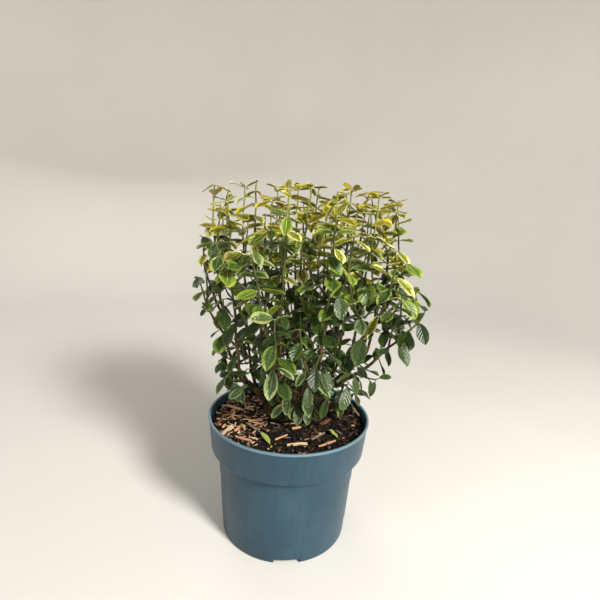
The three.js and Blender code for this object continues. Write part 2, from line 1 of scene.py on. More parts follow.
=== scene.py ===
# A potted wintercreeper: an upright evergreen shrub with small opposite leaves, green in the
# middle and gold, lime or cream round the edge, in a nursery pot of blue-grey plastic.
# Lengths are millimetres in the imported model's frame: +Z up, the origin under the pot and -Y its
# front. Each mesh is scaled to metres as it is made.

import bisect
import itertools
import math

import bpy
import numpy as np
from mathutils import Matrix, Vector, noise
from mathutils.kdtree import KDTree


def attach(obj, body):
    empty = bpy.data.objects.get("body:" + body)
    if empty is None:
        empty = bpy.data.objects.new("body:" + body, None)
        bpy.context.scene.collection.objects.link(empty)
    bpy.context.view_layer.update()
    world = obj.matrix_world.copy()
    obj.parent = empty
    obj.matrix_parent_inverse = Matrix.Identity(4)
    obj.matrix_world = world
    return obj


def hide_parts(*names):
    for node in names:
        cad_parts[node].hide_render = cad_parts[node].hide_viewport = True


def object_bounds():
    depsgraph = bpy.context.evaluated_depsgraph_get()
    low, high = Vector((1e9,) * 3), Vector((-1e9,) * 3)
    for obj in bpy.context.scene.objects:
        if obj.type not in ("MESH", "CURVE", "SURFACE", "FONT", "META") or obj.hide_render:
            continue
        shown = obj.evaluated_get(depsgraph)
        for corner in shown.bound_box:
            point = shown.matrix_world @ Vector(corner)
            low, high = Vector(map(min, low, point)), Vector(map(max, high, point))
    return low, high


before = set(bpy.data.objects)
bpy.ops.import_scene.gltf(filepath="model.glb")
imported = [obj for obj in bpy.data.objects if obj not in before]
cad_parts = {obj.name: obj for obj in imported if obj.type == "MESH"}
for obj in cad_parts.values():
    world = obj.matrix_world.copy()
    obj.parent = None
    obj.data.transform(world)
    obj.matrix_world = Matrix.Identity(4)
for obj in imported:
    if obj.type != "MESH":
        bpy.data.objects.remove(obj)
CAD_BOX = [list(corner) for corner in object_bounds()]

MM = 0.001
TAU = 2 * math.pi

# Pot, as in the solids, with its edges rounded
POT_HEIGHT = 130
RIM_RADIUS = 85
LIP_PROUD = 0.8
LIP_HEIGHT = 2.4
LIP_FADE = 0.5
COLLAR_DEPTH = 34
COLLAR_LOW_RADIUS = 81.2
BODY_TOP_RADIUS = 73.6
BASE_RADIUS = 67
WALL = 1.5
RING_HEIGHTS = (19, 67)
RING_STEP = 0.6
RING_RISE = 0.5
POT_SIDES = 192
POT_CREASE = 35
CORNER_STEPS = 4
POCKET_COUNT = 4
POCKET_WIDTH = 26
POCKET_RISE = 5
POCKET_REACH = 34
POCKET_TURN = 0.1
POCKET_FLOOR = 0.2
INSIDE_APEX = 60

# Compost, chips of bark and crumbs on it
SOIL_TOP = 121
SOIL_GAP = 0.3
SOIL_DIP = 0.6
SOIL_SWELL = 1.8
SOIL_GRAIN = 0.9
SOIL_WAVES = (17, 3.4, 1.3)
SOIL_SIDES = 240
SOIL_RINGS = 76
SOIL_STEP_EASE = 0.7
CHIP_COUNT = 1250
CRUMB_COUNT = 4200
CHIP_REACH = 80.3
CHIP_LENGTH = (3.5, 20)
CHIP_SHORTNESS = 2.3
CHIP_WIDTH = (0.5, 3)
CHIP_SLIMNESS = 3.4
CHIP_THICKNESS = (0.6, 1.5)
CHIP_TILT = (-0.38, 0.38)
CHIP_RISE = (0.2, 3.8)
CHIP_CREASE = 25
STEM_ROOM = 7.5
CRUMB_SIZES = ((0.5, 1.9), (0.5, 1.4), (0.4, 1))
CRUMB_ROUGHNESS = (0.65, 1.15)
CRUMB_RISE = 0.4

# Stems: foot and top of the axis, and the radius at each
STEMS = {
    "left_stem": {"foot": (-22, 16), "top": (-47, 6, 159), "radii": (3.6, 2.6)},
    "main_stem": {"foot": (2, 15), "top": (5, 11, 150), "radii": (4.6, 3.2)},
    "right_stem": {"foot": (25, 15), "top": (41, 7, 160), "radii": (3.9, 2.7)},
}
BARE_STEM = STEMS["left_stem"]
BARE_ROOM = 9
SIGHT_RISE = 0.46
STEM_STEPS = 6
STEM_BEND = (0.3, 0.55)
FOOT_STRAIGHTEN = 0.6
STEM_SUNK = 2
STEM_ENDS = (0.88, 0.55)
FLARE = 0.75
FLARE_REACH = 0.16
FLARE_LOBES = 3
LOBE_DEPTH = 0.25
BOUGH_RADII = (2.1, 1.45)
BOUGH_END = 0.8

# Bark: relief of the skin as a share of its radius, waves round and along the limb, and knobs
BARK_SIDES = 26
BARK_STEP = 0.9
BARK_RELIEF = 0.09
FURROW_WAVES = (2.6, 0.07)
GRAIN_WAVES = (7, 0.33)
KNOB_SPACING = 13
KNOB_HEIGHT = 0.1
KNOB_REACH = 1.2

# Masses of foliage: the stem that carries each, how far up it the bough starts (0 to 1), where
# the mass starts, its seed, and the tips of its tall shoots
MASSES = {
    "far_left": ("left_stem", 1, (-69, 4, 200), 11, [(-86, 8, 361), (-99, 16, 309)]),
    "left_front": ("left_stem", 0.8, (-52, -22, 180), 12, [(-64, -42, 357), (-92, -26, 273)]),
    "left_back": ("left_stem", 0.62, (-48, 34, 176), 13, [(-62, 50, 362), (-84, 62, 318)]),
    "left_centre": ("main_stem", 0.7, (-27, -2, 166), 14, [(-43, -6, 368), (-36, 18, 330)]),
    "back_left": ("main_stem", 0.35, (-18, 46, 164), 15, [(-28, 72, 364), (-52, 86, 322)]),
    "front_left": ("main_stem", 0.45, (-12, -26, 160), 16, [(-10, -66, 358), (-38, -70, 318)]),
    "centre": ("main_stem", 1, (4, 10, 164), 17, [(-4, 22, 361), (9, -28, 362)]),
    "back_right": ("main_stem", 0.6, (20, 48, 166), 18, [(19, 78, 367), (2, 52, 352)]),
    "front_right": ("right_stem", 0.5, (24, -26, 162), 19, [(30, -74, 359), (38, -42, 340)]),
    "right_centre": ("right_stem", 0.75, (44, 4, 186), 20, [(47, -14, 363), (46, 30, 361)]),
    "right_back": ("right_stem", 0.65, (52, 38, 178), 21, [(73, 56, 363), (60, 84, 330)]),
    "right_front": ("right_stem", 0.85, (58, -20, 186), 22, [(68, -46, 357), (86, -62, 300)]),
    "far_right": ("right_stem", 1, (80, 8, 206), 23, [(96, 6, 357), (104, -16, 297)]),
    "low_right": ("right_stem", 0.9, (84, -14, 198), 32, [(129, -11, 249), (112, 18, 262)]),
    "low_front": ("main_stem", 0.25, (6, -14, 137), 25,
                  [(26, -50, 212), (-24, -48, 206), (6, -58, 238)]),
    "low_back": ("main_stem", 0.2, (2, 42, 137), 26,
                 [(-34, 70, 212), (34, 76, 208), (4, 84, 240)]),
}

# Masses whose leaves are joined into one piece, and their twigs into another
GROUPS = {
    "left": ("far_left", "left_front", "left_back"),
    "front": ("left_centre", "front_left", "low_front"),
    "middle": ("centre", "back_left", "back_right", "low_back"),
    "right": ("front_right", "right_centre", "right_back"),
    "outer_right": ("right_front", "far_right", "low_right"),
}

# Numbers that keep the streams of chance apart
SIDE_SEED = 101
SPUR_SEED = 389
LOW_SEED = 61
MASS_SEED = 977
SHOOT_SEED = 131
CHIP_SEED = 41
CRUMB_SEED = 57

# Shoots: the solids' rule with its joints closer together and more side shoots
PLANT_TOP = 362
SOLID_INTERNODE = 21
INTERNODE = 14.6
CROWDING = 0.26
TWIG_RADII = (1.4, 0.66)
SIDE_RADII = (1, 0.56)
TWIG_WANDER = 2
BOW = 0.035
UPRIGHT_PULL = 1.6
FORK_SHARE = 0.37
FORK_SPREAD = 0.5
PATH_STEPS = 40
KNOT_PARTS = 4
TWIG_SIDES = 8
TWIG_SQUARENESS = 0.06
KNOB_SWELL = 0.3
TIP_TAPER = 0.8
FREE_STEP = 3
SIDE_SHARE = (0.1, 0.72)
SIDE_LEAN = (0.35, 0.95)
SIDE_OUT = 0.6
SIDE_DROP = 0.35
SIDE_LEAVE_RISE = 0.5
SIDE_SHORTFALL = 4
RISER_CLEARANCE = 8
SHOOT_CLEARANCE = 5.2
TWIGLET_CLEARANCE = 4
RISER_LEAN = (0.12, 0.5)
RISER_TOP = (326, 357)
SIDE_TRIES = 60
SPUR_TRIES = 50
SPURS = 5
SPUR_LENGTH = (12, 26)
SPUR_SHARE = (0.25, 0.97)
SPUR_OUT = 0.8
SPUR_RISE = 0.4

# Kinds of side shoot, in the order they grow: how many for each mass, their length, and the room
# they need. A riser has no length of its own: it grows up to the top of the plant.
SIDE_KINDS = (
    (1, None, RISER_CLEARANCE),
    (3, (34, 84), SHOOT_CLEARANCE),
    (2, (15, 31), TWIGLET_CLEARANCE),
)

# Shoots low on the stems: the mass they belong to, foot, tip and the size of their leaves. Those
# with small leaves trail over the compost.
LOW_SHOOTS = (
    ("low_right", (27, 13, 125), (66, 12, 139), 0.78),
    ("low_front", (-2, 12, 125), (-22, -8, 130), 0.7),
    ("low_front", (4, 10, 126), (24, -22, 133), 0.7),
    ("far_right", (46, 4, 165), (69, -16, 184), 1),
    ("right_front", (42, 2, 162), (56, -32, 178), 1),
    ("low_right", (54, 1, 166), (66, -26, 168), 1),
    ("low_right", (66, -6, 180), (84, -30, 184), 1),
    ("far_left", (-55, 6, 174), (-76, -6, 180), 1),
    ("left_front", (-46, 4, 160), (-62, -18, 169), 1),
    ("left_front", (-50, -10, 168), (-42, -38, 172), 1),
)
LOW_DROOP = 0.5
LOW_FAMILIES = {"primrose": 2, "frosted": 3, "leafy": 2}

# Leaves: a range runs from the top of the plant to its foot, or is a range of chance
LEAF_LENGTH = (20, 24.5)
LENGTH_CHANCE = (0.72, 1.16)
LEAF_RATIO = 0.49
RATIO_SWELL = 0.17
SWELL_DEPTH = 1.35
WIDTH_CHANCE = (0.9, 1.12)
YOUNG = (0.84, 0.95)
DROOP = (0, 0.62)
DROOP_POWER = 0.9
DROOP_CHANCE = 1.15
BANK_CHANCE = 1.1
CURL = (0.04, 0.2)
FOLD = (0.1, 0.34)
SPIN_CHANCE = 0.55
PETIOLE = (1.6, 3.4)
PETIOLE_SHARE = 0.2
PETIOLE_CLIMB = 0.35
LEAF_CHANCES = 6
LEAF_THICKNESS = 0.32
FOOT_RISE = 25
BUD_LENGTH = (3.2, 6.5)
BUD_RISE = (0.7, 1.25)
CROWN_LENGTH = (8, 14)
CROWN_RISE = (0, 0.6)
TIP_ENDS = {"leafy": 6.5, "cut": 3, "bud": 0.6}
GOLD_TIP_DEPTH = 0.4
CUT_ABOVE = 330
FALLEN = 0.4
FALLEN_LOW = 1.2
FALLEN_REACH = 95

# How far the crown reaches to the left and right at each height
CROWN_SIDES = (
    (150, -62, 76),
    (165, -76, 86),
    (180, -90, 102),
    (205, -97, 120),
    (240, -103, 141),
    (280, -105, 124),
    (345, -106, 109),
    (370, -106, 107),
)

# Room that a leaf needs, and how far it may pass the middle between its mass and the next
REACH_MARGIN = 3
LEAF_OVERLAP = 5
TOUCH_CLEARANCE = 1.9
TWIG_CLEARANCE = 1.5
STALK_ROOM = 1.3
STALK_FREE = 0.4
LIMB_CLEARANCE = 0.9
SOIL_CLEARANCE = 3.5
RIM_CLEARANCE = 2
WALL_CLEARANCE = 6
ROOM_CELL = 6
STEM_POINTS = 20
AXIS_STEP = 1.6
TURNS = (0, 0.3, -0.3, 0.6, -0.6, 0.9, -0.9)
SHRINKS = (1, 0.8)
BLADE_TESTS = ((1, 0), (0.86, 0.5), (0.86, -0.5), (0.68, 0.9), (0.68, -0.9), (0.47, 1), (0.47, -1),
               (0.24, 0.8), (0.24, -0.8), (0.8, 0), (0.6, 0), (0.4, 0), (0.2, 0),
               (0.5, 0.5), (0.5, -0.5))

# Plain colours, as red, green and blue from 0 to 255
COLOURS = {
    "straw": (184, 180, 118),
    "ochre": (136, 118, 20),
    "gold": (176, 160, 42),
    "butter": (204, 200, 126),
    "lemon": (146, 154, 92),
    "cream": (130, 142, 94),
    "lime": (138, 149, 60),
    "spring": (104, 124, 44),
    "khaki": (126, 123, 24),
    "olive": (92, 95, 8),
    "grass": (78, 101, 20),
    "leaf": (46, 66, 23),
    "fern": (67, 86, 36),
    "sage": (98, 115, 70),
    "mist": (72, 90, 52),
    "moss": (49, 65, 29),
    "forest": (38, 55, 22),
    "deep": (26, 40, 16),
    "vein": (100, 117, 71),
    "faded": (146, 158, 80),
}

# Families of leaf: colour of the midrib, the side veins, the middle, the band round it and the
# edge, and how far out the middle and the band reach, as shares of the half width
FAMILIES = {
    "gold": ("straw", "khaki", "olive", "khaki", "gold", 0.42, 0.74),
    "ochre": ("straw", "gold", "khaki", "gold", "ochre", 0.3, 0.66),
    "butter": ("straw", "khaki", "olive", "lime", "butter", 0.46, 0.7),
    "primrose": ("vein", "mist", "fern", "sage", "lemon", 0.48, 0.68),
    "lemon": ("vein", "moss", "leaf", "fern", "lemon", 0.5, 0.78),
    "lime": ("straw", "grass", "grass", "spring", "lime", 0.5, 0.76),
    "spring": ("sage", "fern", "leaf", "grass", "spring", 0.55, 0.8),
    "leafy": ("mist", "moss", "leaf", "moss", "fern", 0.58, 0.86),
    "dark": ("mist", "forest", "deep", "forest", "moss", 0.6, 0.86),
    "frosted": ("vein", "mist", "forest", "moss", "sage", 0.56, 0.84),
    "cream": ("vein", "moss", "forest", "sage", "cream", 0.5, 0.74),
    "faded": ("lemon", "faded", "faded", "faded", "faded", 0.4, 0.6),
}

# How often each family comes, from the top of the plant down: depth limit, then weights
BANDS = (
    (0.1, {"gold": 6, "ochre": 3, "butter": 3}),
    (0.22, {"gold": 5, "ochre": 0.6, "butter": 4, "lime": 2.5}),
    (0.36, {"gold": 2, "butter": 2.5, "lime": 4.5, "primrose": 1.5, "lemon": 0.8, "spring": 1.5}),
    (0.52, {"butter": 0.8, "lime": 3, "primrose": 1.5, "lemon": 1, "spring": 4, "leafy": 1.5}),
    (0.72, {"lime": 0.6, "spring": 2.4, "leafy": 5, "dark": 2, "frosted": 2.8, "lemon": 0.2}),
    (1.01, {"leafy": 4.2, "dark": 3.4, "frosted": 4, "cream": 0.3}),
)

# Shoots from their woody foot to their young tip, and the ends of those that were cut
SHOOT_COLOURS = {
    "shoot_woody": (78, 60, 34),
    "shoot_brown": (64, 56, 28),
    "shoot_dark": (56, 60, 25),
    "shoot_green": (76, 82, 30),
    "shoot_young": (118, 122, 46),
    "shoot_cut": (70, 54, 38),
}
SHOOT_STEPS = (215, 245, 285, 325)
YOUNG_STEM = 24
YOUNG_SLOT = 3
CUT_END = 2

# Colours of chips, and how often each comes on the pale side and on the dark side
CHIP_COLOURS = {
    "chip_straw": ((206, 178, 142), 4.5, 0.1),
    "chip_tan": ((186, 142, 106), 5, 0.35),
    "chip_rust": ((110, 74, 48), 1.4, 1),
    "chip_brown": ((74, 56, 40), 1.8, 2.6),
    "chip_umber": ((32, 25, 18), 4, 9),
    "chip_grey": ((122, 110, 98), 1.2, 0.7),
}
CRUMB_COLOURS = {
    "crumb_black": (19, 15, 12),
    "crumb_brown": (28, 22, 16),
    "crumb_tan": (52, 41, 30),
}
CRUMB_WEIGHTS = {0: 6, 1: 4, 2: 0.6}
PALE_SIDE = (-34, -12)
FRONT_EDGE = (-40, -56)
FRONT_SHRINK = 0.5

# Chips that stand out: middle, heading, length, width and colour
LARGE_CHIPS = (
    (10, -55, 0.2, 19, 2.6, "chip_straw"),
    (-6, -44, 0.8, 16, 2.2, "chip_tan"),
    (2, -15, 0.5, 13, 3.6, "chip_tan"),
    (9, -26, 0.4, 10, 2, "chip_tan"),
    (39, -8, 0.8, 16, 4.2, "chip_rust"),
    (39, -51, 0.6, 20, 1.5, "chip_tan"),
    (31, -39, 0.8, 18, 1.6, "chip_grey"),
    (-62, 0, 1, 28, 2, "chip_rust"),
    (-60, 12, -0.3, 21, 3.6, "chip_tan"),
    (-71, -17, 1.4, 22, 2.6, "chip_rust"),
    (-37, -26, -0.8, 15, 4.4, "chip_grey"),
    (-42, -50, -0.2, 16, 2, "chip_tan"),
    (74, 20, -1.3, 21, 1.6, "chip_tan"),
    (-35, -13, 0.1, 13, 3, "chip_tan"),
)

# Scraps of leaf on the compost: foot, heading, length
SCRAPS = (
    (-29, -38, -0.85, 18),
    (41, -25, -0.8, 12),
)
SCRAP_CHANCES = (0.5, 0.3, 0, 0.9, 0.9, 0.5)
SCRAP_DROOP = 0.12
SCRAP_RISE = 4.4
SCRAP_ROOM = 0.75


def lerp(low, high, share):
    return low + (high - low) * share


def clamp(value, low=0, high=1):
    return min(max(value, low), high)


def heading(turn):
    return Vector((math.cos(turn), math.sin(turn), 0))


def around(sides):
    return np.arange(sides) * TAU / sides


def add_object(name, data):
    thing = bpy.data.objects.new(name, data)
    bpy.context.collection.objects.link(thing)
    return thing


class Chance:
    """A repeatable stream of numbers from 0 to 1."""

    MASK = 0xFFFFFFFF

    def __init__(self, seed):
        self.state = seed & self.MASK

    def __call__(self):
        self.state = (self.state + 0x6D2B79F5) & self.MASK
        mixed = self.state
        mixed = ((mixed ^ (mixed >> 15)) * (mixed | 1)) & self.MASK
        mixed ^= (mixed + (mixed ^ (mixed >> 7)) * (mixed | 61)) & self.MASK
        return ((mixed ^ (mixed >> 14)) & self.MASK) / (self.MASK + 1)

    def several(self, count):
        return [self() for _ in range(count)]

    def between(self, limits):
        return lerp(*limits, self())

    def pick(self, weights):
        target = self() * sum(weights.values())
        for name, weight in weights.items():
            target -= weight
            if target < 0:
                break
        return name


# Curves


class Path:
    """A run of points that can be read at a distance along it."""

    def __init__(self, points):
        self.points = points
        steps = ((after - before).length for before, after in zip(points, points[1:]))
        self.marks = [0, *itertools.accumulate(steps)]
        self.length = self.marks[-1]

    def at(self, distance):
        index = clamp(bisect.bisect_right(self.marks, distance) - 1, 0, len(self.points) - 2)
        span = self.marks[index + 1] - self.marks[index]
        share = clamp((distance - self.marks[index]) / span)
        return self.points[index].lerp(self.points[index + 1], share)

    def spaced(self, steps, crowding=0):
        """Points along the path, closer together towards its end as far as crowding says."""
        shares = [step / steps for step in range(steps + 1)]
        return [self.at(self.length * t * (1 + crowding * (1 - t))) for t in shares]


def bezier(foot, tip, leave, arrive):
    """A path from foot to tip that leaves and arrives in the directions given."""
    reach = (tip - foot).length / 3
    first, second = foot + leave * reach, tip - arrive * reach
    points = []
    for step in range(PATH_STEPS + 1):
        t = step / PATH_STEPS
        s = 1 - t
        points.append(foot * s**3 + first * (3 * s * s * t) + second * (3 * s * t * t) + tip * t**3)
    return Path(points)


def bent(start, bend, end, steps):
    """Points of a curve from start to end that is drawn towards bend."""
    shares = [step / steps for step in range(steps + 1)]
    return [start * (1 - t) ** 2 + bend * (2 * t * (1 - t)) + end * t**2 for t in shares]


def through(knots):
    """A smooth path through knots, each stretch in KNOT_PARTS parts."""
    points = []
    for index in range(len(knots) - 1):
        before = knots[max(index - 1, 0)]
        start, end = knots[index], knots[index + 1]
        after = knots[min(index + 2, len(knots) - 1)]
        for part in range(KNOT_PARTS):
            t = part / KNOT_PARTS
            points.append(0.5 * (
                2 * start + (end - before) * t
                + (2 * before - 5 * start + 4 * end - after) * t**2
                + (3 * start - before - 3 * end + after) * t**3
            ))
    return Path([*points, knots[-1].copy()])


# Limbs of the plant


def stem_path(stem):
    x, y = stem["foot"]
    foot, top = Vector((x, y, SOIL_TOP + SOIL_GAP)), Vector(stem["top"])
    out, up = STEM_BEND
    bend = Vector((lerp(x, top.x, out), lerp(y, top.y, out), lerp(foot.z, top.z, up)))
    knots = bent(foot, bend, top, STEM_STEPS)
    knots[1].x = lerp(x, knots[1].x, FOOT_STRAIGHTEN)
    knots[1].y = lerp(y, knots[1].y, FOOT_STRAIGHTEN)
    return knots


def bough_path(mass):
    stem, share, foot, _, tips = mass
    start, end = stem_path(STEMS[stem])[round(share * STEM_STEPS)], Vector(foot)
    aim = (Vector(tips[0]) - end).normalized()
    return bezier(start, end, (end - start).normalized(), aim)


class Shoot:
    """A green shoot: its joints, a smooth axis through them, and its thickness."""

    def __init__(self, path, radii, draw, end=None, leaf_scale=1):
        self.radii, self.end, self.leaf_scale = radii, end, leaf_scale
        steps = max(1, round(path.length / INTERNODE))
        self.knots = path.spaced(steps, CROWDING)
        turn, bow = draw() * TAU, draw() * BOW * path.length
        for index, knot in enumerate(self.knots[1:-1], 1):
            out = bow * math.sin(math.pi * index / steps)
            knot.x += out * math.cos(turn) + (draw() - 0.5) * TWIG_WANDER
            knot.y += out * math.sin(turn) + (draw() - 0.5) * TWIG_WANDER
        self.axis = through(self.knots)
        self.tip = self.knots[-1]


def upright_to(tip, foot):
    arrive = (tip - foot).normalized()
    arrive.z += UPRIGHT_PULL
    return arrive.normalized()


def tall_shoots(mass):
    _, _, foot, seed, tips = mass
    draw = Chance(seed)
    foot, first = Vector(foot), Vector(tips[0])
    path = bezier(foot, first, (first - foot).normalized(), upright_to(first, foot))
    shoots = [Shoot(path, TWIG_RADII, draw)]
    joint = path.length / round(path.length / SOLID_INTERNODE)
    for index, values in enumerate(tips[1:], 1):
        tip, fork = Vector(values), path.at((index + FORK_SHARE) * joint)
        leave = (tip - fork).normalized()
        leave.z *= FORK_SPREAD
        forked = bezier(fork, tip, leave.normalized(), upright_to(tip, fork))
        shoots.append(Shoot(forked, TWIG_RADII, draw))
    return shoots


class Cells:
    """Points sorted into cells, to ask whether one lies near a place."""

    def __init__(self, size):
        self.size = size
        self.cells = {}

    def key(self, point):
        return tuple(math.floor(value / self.size) for value in point)

    def add(self, points, owner=None):
        for point in points:
            self.cells.setdefault(self.key(point), []).append((point, owner))

    def near(self, point, distance, but=None):
        x, y, z = self.key(point)
        for step in itertools.product((-1, 0, 1), repeat=3):
            for other, owner in self.cells.get((x + step[0], y + step[1], z + step[2]), ()):
                if (but is None or owner != but) and (other - point).length < distance:
                    return True
        return False


def inside_pot_line(point):
    """True above the pot's rim, or low over the compost and clear of the wall."""
    if point.z < SOIL_TOP + SOIL_CLEARANCE:
        return False
    reach = math.hypot(point.x, point.y)
    return point.z > POT_HEIGHT + RIM_CLEARANCE or reach < RIM_RADIUS - WALL_CLEARANCE


def hides_stem(point):
    """True in front of the left stem's bare foot, which shows between the leaves."""
    (x, y), (top_x, _, top_z) = BARE_STEM["foot"], BARE_STEM["top"]
    share = (point.z - (y - point.y) * SIGHT_RISE - SOIL_TOP) / (top_z - SOIL_TOP)
    return point.y < y and 0 < share < 1 and abs(lerp(x, top_x, share) - point.x) < BARE_ROOM


def in_reach(point):
    """True within the solids' box, give or take a little, and the crown's own outline."""
    heights, left, right = zip(*CROWN_SIDES)
    if not np.interp(point.z, heights, left) < point.x < np.interp(point.z, heights, right):
        return False
    return all(low / MM - REACH_MARGIN < value < high / MM + REACH_MARGIN
               for low, value, high in zip(CAD_BOX[0], point, CAD_BOX[1]))


def add_shoots(shoots, taken, tries, count, clearance, make, allowed):
    """Shoots from make that are allowed and stand clear of all that has grown so far."""
    for _ in range(tries):
        shoot, start = make()
        places = np.arange(clearance + start, shoot.axis.length, FREE_STEP)
        free = [shoot.axis.at(place) for place in places]
        clear = not any(taken.near(point, clearance) for point in free)
        if count and clear and allowed(shoot, free):
            shoots.append(shoot)
            taken.add(shoot.axis.points)
            count -= 1


def side_shoot(parents, lengths, draw):
    """A shoot on one of the parents, and the parent's radius."""
    parent = parents[int(draw() * len(parents))]
    foot = parent.axis.at(parent.axis.length * draw.between(SIDE_SHARE))
    turn, lean = draw() * TAU, draw.between(SIDE_LEAN if lengths else RISER_LEAN)
    climb = 1 - lean * SIDE_DROP
    length = draw.between(lengths or RISER_TOP)
    if not lengths:
        length = max(length - foot.z, INTERNODE) / climb
    level = heading(turn)
    tip = foot + level * (length * lean * SIDE_OUT)
    tip.z += length * climb
    leave = Vector((level.x, level.y, SIDE_LEAVE_RISE)).normalized()
    path = bezier(foot, tip, leave, upright_to(tip, foot))
    return Shoot(path, SIDE_RADII, draw), parent.radii[0]


def side_allowed(shoot, _):
    tip = shoot.tip
    return tip.z < PLANT_TOP - SIDE_SHORTFALL and inside_pot_line(tip) and in_reach(tip)


def spur(bough, draw):
    """A short leafy shoot on a bough, and the bough's radius."""
    length = draw.between(SPUR_LENGTH)
    foot = bough.at(bough.length * draw.between(SPUR_SHARE))
    level = heading(draw() * TAU)
    tip = foot + level * (length * SPUR_OUT)
    tip.z += length * SPUR_RISE
    path = bezier(foot, tip, level, upright_to(tip, foot))
    return Shoot(path, SIDE_RADII, draw, end="leafy"), BOUGH_RADII[0]


def spur_allowed(_, free):
    return all(inside_pot_line(point) and not hides_stem(point) for point in free)


def low_shoot(foot, tip, draw, leaf_scale):
    level = Vector((tip.x - foot.x, tip.y - foot.y, 0)).normalized()
    rise = Vector((level.x, level.y, SPUR_RISE)).normalized()
    return Shoot(bezier(foot, tip, level, rise), SIDE_RADII, draw, "leafy", leaf_scale)


def grow_shoots(boughs):
    """Every mass's shoots: tall ones, side shoots, spurs on the boughs and low ones."""
    taken = Cells(RISER_CLEARANCE + 1)
    for path in boughs.values():
        taken.add(path.points)
    masses = {name: tall_shoots(mass) for name, mass in MASSES.items()}
    for shoot in itertools.chain(*masses.values()):
        taken.add(shoot.axis.points)
    for kind, (count, lengths, clearance) in enumerate(SIDE_KINDS, 1):
        for name, shoots in masses.items():
            draw, parents = Chance(MASSES[name][3] * SIDE_SEED + kind), list(shoots)
            add_shoots(shoots, taken, SIDE_TRIES, count, clearance,
                       lambda: side_shoot(parents, lengths, draw), side_allowed)
    for name, shoots in masses.items():
        draw = Chance(MASSES[name][3] * SPUR_SEED)
        add_shoots(shoots, taken, SPUR_TRIES, SPURS, TWIGLET_CLEARANCE,
                   lambda: spur(boughs[name], draw), spur_allowed)
    for number, (name, foot, tip, leaf_scale) in enumerate(LOW_SHOOTS, 1):
        draw = Chance(number * LOW_SEED)
        masses[name].append(low_shoot(Vector(foot), Vector(tip), draw, leaf_scale))
    return masses


# Leaves


def depth_share(height):
    """How far down the plant a height is: 0 at the top and 1 at the lowest leaves."""
    return clamp((PLANT_TOP - height) / (PLANT_TOP - SOIL_TOP - FOOT_RISE))


def leaf_ratio(depth):
    return LEAF_RATIO + RATIO_SWELL * math.sin(math.pi * min(depth * SWELL_DEPTH, 1))


class Leaf:
    """A leaf's place and directions: its joint, its petiole and its blade."""

    def __init__(self, joint, tangent, spin, size, depth, chance, droop=None):
        if droop is None:
            droop = lerp(*DROOP, depth**DROOP_POWER) + (chance[0] - 0.5) * DROOP_CHANCE
        level = heading(spin)
        level = (level - tangent * level.dot(tangent)).normalized()
        self.ahead = level * math.cos(droop)
        self.ahead.z -= math.sin(droop)
        self.ahead.normalize()
        side = Vector((-math.sin(spin), math.cos(spin), (chance[1] - 0.5) * BANK_CHANCE))
        side = (side - self.ahead * side.dot(self.ahead)).normalized()
        self.face = self.ahead.cross(side).normalized()
        if self.face.z < 0:
            self.face.negate()
        self.across = self.ahead.cross(self.face)
        self.joint, self.length, self.depth = joint, size, depth
        self.width = size * leaf_ratio(depth) * lerp(*WIDTH_CHANCE, chance[2])
        self.curl, self.fold = lerp(*CURL, chance[3]), lerp(*FOLD, chance[4])
        stalk = min(lerp(*PETIOLE, depth), size * PETIOLE_SHARE)
        rise = tangent * (stalk * PETIOLE_CLIMB)
        self.root = joint + (level + self.ahead).normalized() * stalk + rise

    def point(self, share, half):
        raised = abs(half) * self.fold * self.width / 2 - self.curl * share**2 * self.length
        return (self.root + self.ahead * (share * self.length)
                + self.across * (half * self.width / 2) + self.face * raised)

    def tests(self):
        return [self.point(share, half) for share, half in BLADE_TESTS]


def tree_of(points):
    tree = KDTree(len(points))
    for index, point in enumerate(points):
        tree.insert(point, index)
    tree.balance()
    return tree


class Room:
    """What a leaf has to keep clear of."""

    def __init__(self, masses, boughs):
        self.blades, self.stems, self.boughs, self.twigs = (Cells(ROOM_CELL) for _ in range(4))
        for stem in STEMS.values():
            self.stems.add(Path(stem_path(stem)).spaced(STEM_POINTS))
        for path in boughs.values():
            self.boughs.add(path.points)
        axes = {name: [] for name in masses}
        for name, shoots in masses.items():
            for number, shoot in enumerate(shoots):
                points = shoot.axis.spaced(max(2, int(shoot.axis.length / AXIS_STEP)))
                axes[name] += points
                self.twigs.add(points, (name, number))
        self.own = {name: tree_of(points) for name, points in axes.items()}
        self.others = {name: tree_of([point for other in axes if other != name
                                      for point in axes[other]]) for name in axes}

    def fits(self, leaf, name, number, joint):
        """True if the leaf keeps to its mass's space and touches nothing there."""
        stem_room = STEMS["main_stem"]["radii"][0] + LIMB_CLEARANCE
        for point, (share, _) in zip(leaf.tests(), BLADE_TESTS):
            if not inside_pot_line(point) or not in_reach(point) or hides_stem(point):
                return False
            own, others = (trees[name].find(point)[2] for trees in (self.own, self.others))
            if own > others + LEAF_OVERLAP or share >= STALK_FREE and own < STALK_ROOM:
                return False
            if (self.stems.near(point, stem_room)
                    or self.boughs.near(point, BOUGH_RADII[0] + LIMB_CLEARANCE)
                    or self.twigs.near(point, TWIG_CLEARANCE, (name, number))
                    or self.blades.near(point, TOUCH_CLEARANCE, joint)):
                return False
        return True


def place_leaf(make, fits):
    for shrink, turn in itertools.product(SHRINKS, TURNS):
        leaf = make(turn, shrink)
        if fits(leaf):
            return leaf
    return None


def tangent_at(knots, joint):
    before = knots[max(joint - 1, 0)]
    after = knots[min(joint + 1, len(knots) - 1)]
    return (after - before).normalized()


